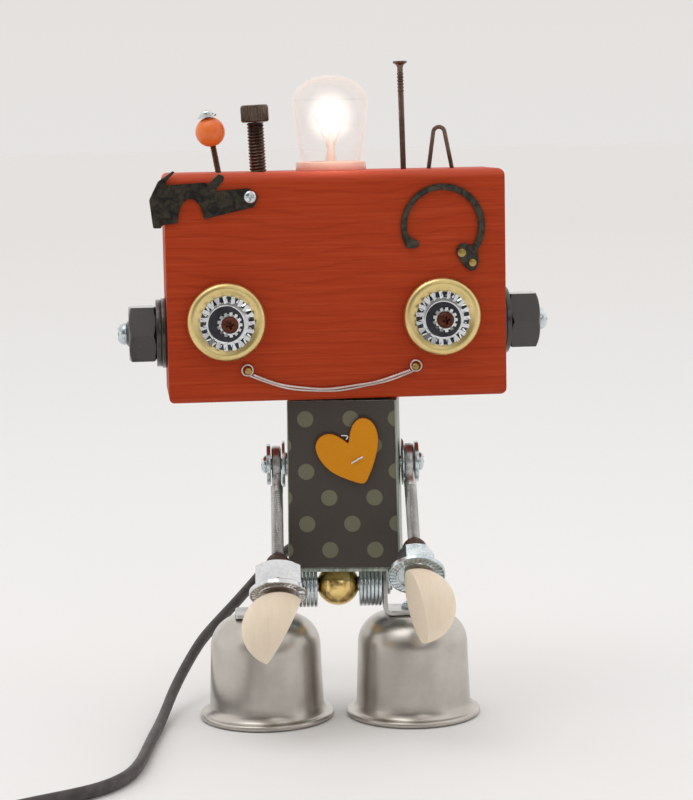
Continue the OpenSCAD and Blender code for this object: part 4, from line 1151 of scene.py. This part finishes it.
HEART_OUTLINE = [
    (-0.4, 0.1), (-2.4, 0.6), (-4.8, 1.4), (-8.8, 3.0), (-12.4, 5.0), (-15.1, 7.6), (-17.1, 10.4),
    (-18.3, 13.5), (-18.4, 16.0), (-17.2, 18.4), (-15.1, 19.8), (-12.7, 20.3), (-10.4, 19.7), (-8.0, 18.3),
    (-5.2, 16.1), (-4.9, 17.9), (-4.6, 20.3), (-3.7, 23.3), (-2.0, 25.6), (0.4, 26.6), (3.2, 25.9),
    (5.2, 23.7), (6.4, 20.7), (6.7, 17.4), (6.2, 13.5), (5.1, 9.2), (3.7, 5.2), (2.1, 1.6), (1.1, 0.3),
]


def make_heart():
    place = CHEST @ moved(7.8, 98.7, 0.4)
    outline = rounded(HEART_OUTLINE, 1.2, 2)
    # Painted shade: a dark plate a little larger than the heart, set behind it, stands for the shade on the
    # heart's sides.
    edge = [(x * 1.02 - 0.1, y * 1.02 + 0.1) for x, y in outline]
    piece("chest_heart_painted_shade_rim", plate_shape(edge[::-1], 1.3, 0.3), place, "heart_painted_shade", "torso", (),
          30)
    piece("chest_heart_enamel", plate_shape(outline[::-1], 1.65, 0.25), place @ moved(0, 0, 0.15),
          "mustard", "torso", ["chest_heart"], 30)
    strokes = [[(3.8, 107.1, 2.25), (5.8, 108.4, 2.75), (8.2, 109.5, 2.25)],
               [(-0.4, 118.0, 0.7), (2.3, 117.8, 0.9), (1.7, 116.4, 0.7)]]
    wires = [sweep(smooth_path(line, 5), round_outline(0.42, 8)) for line in strokes]
    piece("chest_heart_wire", joined(*wires), CHEST, "chrome", "torso", (), 60)


def tin_lips():
    """The folded tin edges that stand proud of the paper at the right, left and foot."""
    half_low, half_top, low, top = 22.5, 21.8, 62.8, 132
    lips = []
    for side, wide in ((-1, 0.35), (1, 0.85)):
        outer = [(side * half_low, low), (side * half_top, top)]
        inner = [(side * (half_top - wide), top), (side * (half_low - wide), low)]
        corners = outer + inner
        lips.append(plate_shape(corners if side > 0 else corners[::-1], 0.7, 0.2))
    foot = [(-half_low + 0.35, low), (half_low - 0.85, low), (half_low - 0.85, low + 1.3),
            (-half_low + 0.35, low + 1.3)]
    lips.append(plate_shape(foot, 0.65, 0.2))
    return joined(*lips)


def make_torso():
    piece("torso_tin_lips", tin_lips(), CHEST @ moved(0, 0, -0.1), "tin", "torso", (), 30)
    ball = [(3.05, -8.08)] + [(8.65 * math.cos(math.radians(a)), 8.65 * math.sin(math.radians(a)))
                              for a in range(-66, 67, 3)] + [(3.05, 8.08)]
    hip = on_axle(0)
    piece("brass_hip_ball", lathe(ball, 96, True), hip, "brass", "torso", ["brass_ball"], 50)
    start = 8.45
    pitch = (17.7 - start) / 6
    for name, side in (("left", -1), ("right", 1)):
        rings = STACK.grow("zinc", Count=6, Pitch=pitch, Outer=9.2, Inner=3.05, Thick=pitch - 0.22)
        place = hip @ (turned(180, "Y") if side < 0 else Matrix.Identity(4)) @ moved(0, 0, start + pitch / 2)
        piece("hip_washer_stack_" + name, rings, place, "zinc", "torso",
              ["hip_washers"] if side < 0 else (), 50)
    rings = [shifted(washer_shape(4.6, 3.05, 1, 0.2), turned(side * 90, "Y") @ moved(0, 0, 20.3))
             for side in (-1, 1)]
    piece("axle_push_rings", joined(*rings), on_axle(0) @ turned(-90, "Y"), "zinc", "torso",
          ["axle_clips"], 30)
    collar = joined(lathe([(0, 60.3), (3.2, 61.9), (3.5, 62.1), (3.5, 63.95), (0, 63.95)], 40),
                    lathe([(0, 63), (2, 63), (2, 65), (0, 65)], 24),
                    shifted(pan_head_shape(3.5, 2.4, 2, 1.2), moved(0, 0, 64.8)))
    piece("hip_ball_collar", collar, MILLI @ moved(0, AXLE_Y, 0), "zinc", "torso", ())


def make_shoulders():
    middle = MILLI @ moved(0, AXLE_Y, JOINT_AT["shoulder_left"].z / MM)
    screws = []
    for side, seat in ((-1, 28.2), (1, 33.6)):
        screw = joined(lathe([(0, seat - 16), (2, seat - 16), (2.5, seat - 15), (2.5, seat), (0, seat)], 32),
                       shifted(pan_head_shape(3.8, 2.2, 2.2, 1.2), moved(0, 0, seat)))
        screws.append(shifted(screw, turned(side * 90, "Y")))
    piece("shoulder_pan_screws", joined(*screws), middle, "zinc", "torso", ["shoulder_screws"])
    rings = [shifted(washer_shape(wide / 2, 2.55, thick, 0.22), moved(x, 0, 0) @ turned(90, "Y"))
             for x, thick, wide in ((-28.1, 1.6, 16.7), (-21.9, 1.2, 19), (-20.6, 1.4, 10),
                                    (26.8, 0.7, 19), (31.9, 1.6, 16.7))]
    piece("shoulder_flat_washers", joined(*rings), middle, "zinc", "torso", ["shoulder_washers"])


# ---- arms ----

HAND_R = 14.5


def half_ball(cuts, edge):
    """A ball cut by planes given as (point, outward direction), with its new edges softened."""
    work = bmesh.new()
    bmesh.ops.create_uvsphere(work, u_segments=72, v_segments=40, radius=HAND_R)
    for point, away in cuts:
        everything = list(work.verts) + list(work.edges) + list(work.faces)
        bmesh.ops.bisect_plane(work, geom=everything, plane_co=point, plane_no=away, clear_outer=True)
        rim = [e for e in work.edges if e.is_boundary]
        bmesh.ops.edgeloop_fill(work, edges=rim)
    sharp = [e for e in work.edges if len(e.link_faces) == 2
             and e.calc_face_angle(0) > math.radians(20)]
    bmesh.ops.bevel(work, geom=sharp, offset=edge, segments=3, affect="EDGES", clamp_overlap=True)
    work.verts.index_update()
    shape = [tuple(v.co) for v in work.verts], [[v.index for v in f.verts] for f in work.faces]
    work.free()
    return shape


def flat_sided(r):
    """The radius of a round neck that is pressed as flat as the eye above it."""
    return lambda a: min(r, 1.88 / max(abs(math.cos(a)), 1e-6))


def make_arms():
    for name, side, across, flange_r, spin in (("left", -1, 17.7, 11.5, 0), ("right", 1, 13, 11.3, TAU / 12)):
        body = "arm_" + name
        shoulder = on_arm(name)
        section = rounded([(2.6, -1.9), (7.5, -1.9), (7.5, 1.9), (2.6, 1.9)], [0.5, 1.3, 1.3, 0.5], 5)
        eye = shifted(lathe(section, 64, closed=True), turned(90, "Y"))
        neck = lathe([(0, -5.6), (flat_sided(3.7), -5.8), (flat_sided(3.1), -7.4), (flat_sided(2.7), -9),
                      (flat_sided(2.5), -10.3), (2.5, -10.9), (2.5, -13.6), (2.3, -14.2), (0, -14.2)], 48)
        rod = shifted(thread_shape("steel", 2.5, 37, 0.8, 0.42, 28), moved(0, 0, -51))
        piece("eyebolt_threaded_" + name, joined(eye, neck, rod), shoulder, "steel", body,
              ["eyebolt_" + name], 30)
        wrist = on_arm(name, ARM_LEN)
        flange = lathe([(2.55, 0.45), (7.0, 0.45), (7.3, 0), (7.9, 0), (8.1, 0.35), (10.5, 0.45), (10.8, 0),
                        (flange_r - 0.25, 0), (flange_r, 0.3), (flange_r, 1.7), (flange_r - 0.3, 2),
                        (2.55, 2)], 72, closed=True)
        teeth = shifted(TEETH.grow("zinc", Count=30, Radius=9.35, Long=2.5, Wide=0.75, Thick=0.5,
                                   Twist=0.35, Skew=0.35), moved(0, 0, 0.35))
        nut = shifted(nut_shape(across, 2.55, 9.6, spin), moved(0, 0, 2))
        piece("wrist_flange_nut_" + name, joined(flange, teeth, nut), wrist,
              "chrome" if side < 0 else "zinc", body, ["wrist_nut_" + name], 28)
        dome = [(2.55, 0), (5.25, 0), (5.2, 1.4), (4.9, 2.9), (4.4, 4.1), (3.7, 5.1), (3.3, 5.5), (2.55, 5.5)]
        piece("wrist_brown_plug_" + name, lathe(dome, 48, True), wrist @ moved(0, 0, 11.6), "brown_cap", body,
              ["wrist_plug_" + name])
        turn, lean, flat = (19, 23, 2) if side < 0 else (0, -15, 1)
        tilt = turned(turn, "Z") @ turned(lean, "Y")
        flat_way = tilt.to_3x3() @ Vector((-side, 0, 0))
        cuts = [(flat_way * flat, flat_way), (Vector((0, 0, HAND_R - 0.6)), Vector((0, 0, 1)))]
        piece("hand_half_ball_" + name, half_ball(cuts, 0.9), wrist @ moved(0, 0, -HAND_R), "maple", body,
              ["hand_" + name], 30)


# ---- legs ----

def link_shape():
    """A strip bent square: its upright ends round about the axle, its foot ends straight."""
    half, thick, wide, axle = 12.2, 2, 15.6, 54.3
    bend = 3
    x, floor = half - thick / 2, 42 + thick / 2
    line, widths = [], []
    for k in range(13):
        a = math.pi / 2 * k / 12
        line.append((-x, axle + wide / 2 * math.cos(a)))
        widths.append(max(wide / 2 * math.sin(a), 0.3))
    corner = arc((-x + bend, floor + bend), bend, 180, 270, 8)
    line += corner + [(0, floor), (half - 1.2, floor), (half, floor)]
    widths += [wide / 2] * (len(corner) + 2) + [wide / 2 - 1.2]
    points, faces = [], []
    ring = rounded([(-1, -1), (1, -1), (1, 1), (-1, 1)], 0.3, 3)
    size = len(ring)
    for i, (px, pz) in enumerate(line):
        back, on = Vector(line[max(i - 1, 0)]), Vector(line[min(i + 1, len(line) - 1)])
        ahead = (on - back).normalized()
        points += [(px - ahead.y * v * thick / 2, widths[i] * u, pz + ahead.x * v * thick / 2)
                   for u, v in ring]
    for i in range(len(line) - 1):
        for k in range(size):
            n = (k + 1) % size
            faces.append([i * size + k, i * size + n, (i + 1) * size + n, (i + 1) * size + k])
    faces.append(list(range(size)))
    faces.append([(len(line) - 1) * size + k for k in range(size)])
    return points, faces


def cup_shape():
    """The upturned cup: a rolled brim, a groove above it, a straight wall and a domed shoulder."""
    rows = arc((26.3, 1.2), 1.2, -150, 70, 12)
    rows += [(25.9, 2.25), (25.1, 2.5), (24.4, 3.2), (23.75, 4.4), (23.4, 5.6), (23.3, 9.0), (22.95, 17.0),
             (22.6, 26.0), (22.5, 29.5)]
    rows += arc((10, 29.5), 12.5, 0, 90, 16)[1:]
    rows += [(2.6, 42), (2.6, 41.2), (10, 41.2)]
    rows += arc((10, 29.5), 11.7, 90, 0, 16)[1:]
    rows += [(22.1, 17), (22.55, 6.2), (22.9, 4.2), (23.8, 2.4), (24.9, 1.6)]
    return lathe(rows, 128, closed=True)


def make_legs():
    for name, side in (("left", -1), ("right", 1)):
        body = "leg_" + name
        foot = MILLI @ moved(side * 30.2, AXLE_Y, 0)
        strip = shifted(link_shape(), Matrix.Scale(side, 4, (1, 0, 0)))
        piece("hip_angle_strip_" + name, strip, foot, "steel", body, ["hip_link_" + name], 45)
        piece("foot_spun_cup_" + name, cup_shape(), foot, "cup_" + name, body, ["foot_cup_" + name],
              40)
        screw = joined(lathe([(0, 34.2), (2, 34.2), (2.5, 35), (2.5, 44), (0, 44)], 28),
                       shifted(pan_head_shape(4.5, 2.6, 2.6, 1.3), moved(0, 0, 44)),
                       shifted(nut_shape(8, 2.5, 4), moved(0, 0, 37.2)))
        piece("foot_bolt_" + name, screw, foot, "zinc", body, ["foot_screws_" + name], 35)


make_ears()
make_eyes()
make_mouth()
make_latch()
make_ring()
make_top_screws()
make_pins()
make_lamp()
make_heart()
make_torso()
make_shoulders()
make_arms()
make_legs()

for node_name, finish_name in (("head_block", "timber"), ("holder_contact", "brass"),
                               ("head_lead", "cord"), ("torso_shell", "tin"), ("chest_paper", "paper"),
                               ("neck_nipple", "zinc"), ("neck_washers", "zinc"), ("hip_axle", "steel")):
    node = bpy.data.objects[node_name]
    for place in node.material_slots:
        place.material = FINISH[finish_name]


# ---- floor and light ----

def make_floor():
    finish = Finish("pale_studio_floor", roughness=0.85, specular_ior_level=0.1)
    at = finish.add("ShaderNodeTexCoord").outputs["Object"]
    cloud = finish.noise(at, 1.5, 2)
    near = finish.mix(cloud, srgb(240, 240, 240), srgb(242, 242, 242))
    away = finish.step(finish.parts(at)[1], 0.5, 5)
    finish.colour(finish.mix(away, near, srgb(238, 236, 235)))
    mesh = bpy.data.meshes.new("studio_floor")
    reach = 30
    mesh.from_pydata([(-reach, -reach, 0), (reach, -reach, 0), (reach, reach, 0), (-reach, reach, 0)], [],
                     [(0, 1, 2, 3)])
    mesh.materials.append(finish.material)
    floor = bpy.data.objects.new("studio_floor", mesh)
    floor.location.z = -0.0002
    bpy.context.scene.collection.objects.link(floor)


def add_light(name, place, aim, size, watts, colour=(1, 1, 1)):
    data = bpy.data.lights.new(name, "AREA")
    data.shape = "DISK"
    data.size = size
    data.energy = watts
    data.color = colour
    lamp = bpy.data.objects.new(name, data)
    lamp.location = place
    lamp.rotation_euler = (Vector(aim) - Vector(place)).to_track_quat("-Z", "Y").to_euler()
    bpy.context.scene.collection.objects.link(lamp)


# The backdrop's colour where the floor meets it, and how bright the room behind the camera is.
HORIZON = (229.5, 227, 225)
ROOM_STRENGTH = 1.12


def make_world():
    """An even pale room; what shines sees it darker towards the front, with a dark band up there."""
    world = bpy.data.worlds.new("pale_room")
    world.use_nodes = True
    tree = world.node_tree
    tree.nodes.clear()

    def add(kind, settings=None):
        node = tree.nodes.new(kind)
        for name, value in (settings or {}).items():
            setattr(node, name, value)
        return node

    def ramp(value, low, high, most=1.0):
        node = add("ShaderNodeMapRange", {"interpolation_type": "SMOOTHSTEP"})
        tree.links.new(value, node.inputs["Value"])
        node.inputs["From Min"].default_value = low
        node.inputs["From Max"].default_value = high
        node.inputs["To Max"].default_value = most
        return Value(tree, node.outputs[0])

    def blend(share, first, last):
        tone = add("ShaderNodeMix", {"data_type": "RGBA"})
        tree.links.new(share.socket, tone.inputs[0])
        for place, colour in ((6, first), (7, last)):
            if isinstance(colour, bpy.types.NodeSocket):
                tree.links.new(colour, tone.inputs[place])
            else:
                tone.inputs[place].default_value = opaque(colour)
        return tone.outputs[2]

    plain, room = add("ShaderNodeBackground"), add("ShaderNodeBackground")
    way = add("ShaderNodeTexCoord")
    split = add("ShaderNodeSeparateXYZ")
    tree.links.new(way.outputs["Generated"], split.inputs[0])
    depth, rise = split.outputs[1], split.outputs[2]
    backdrop = blend(ramp(rise, -0.01, 0.14), srgb(*HORIZON), srgb(226, 222, 218))
    tree.links.new(backdrop, plain.inputs[0])
    plain.inputs[1].default_value = 1.0
    even = blend(ramp(depth, -0.35, -0.97), srgb(244, 242, 240), srgb(128, 124, 120))
    band = ramp(rise, 0.2, 0.34) * ramp(rise, 0.6, 0.46) * ramp(depth, -0.3, -0.7, 0.75)
    tree.links.new(blend(band, even, srgb(70, 64, 60)), room.inputs[0])
    room.inputs[1].default_value = ROOM_STRENGTH
    path = add("ShaderNodeLightPath")
    choose = add("ShaderNodeMixShader")
    tree.links.new(path.outputs["Is Camera Ray"], choose.inputs[0])
    tree.links.new(room.outputs[0], choose.inputs[1])
    tree.links.new(plain.outputs[0], choose.inputs[2])
    tree.links.new(choose.outputs[0], add("ShaderNodeOutputWorld").inputs[0])
    bpy.context.scene.world = world


make_floor()
make_world()
add_light("soft_top", (-0.35, -0.3, 1.3), (0, 0, 0.12), 0.9, 2.4)
add_light("soft_front", (0.5, -1.5, 0.9), (0, 0, 0.12), 0.8, 1.6)
BULB_WARMTH_AT = tuple(HEAD @ Vector((LAMP_X, -15, 108)))
add_light("bulb_warmth", BULB_WARMTH_AT, (0, 0, 0.2), 0.02, 0.003, (1, 0.75, 0.6))
bpy.context.scene.view_settings.view_transform = "Standard"
bpy.context.scene.view_settings.look = "None"
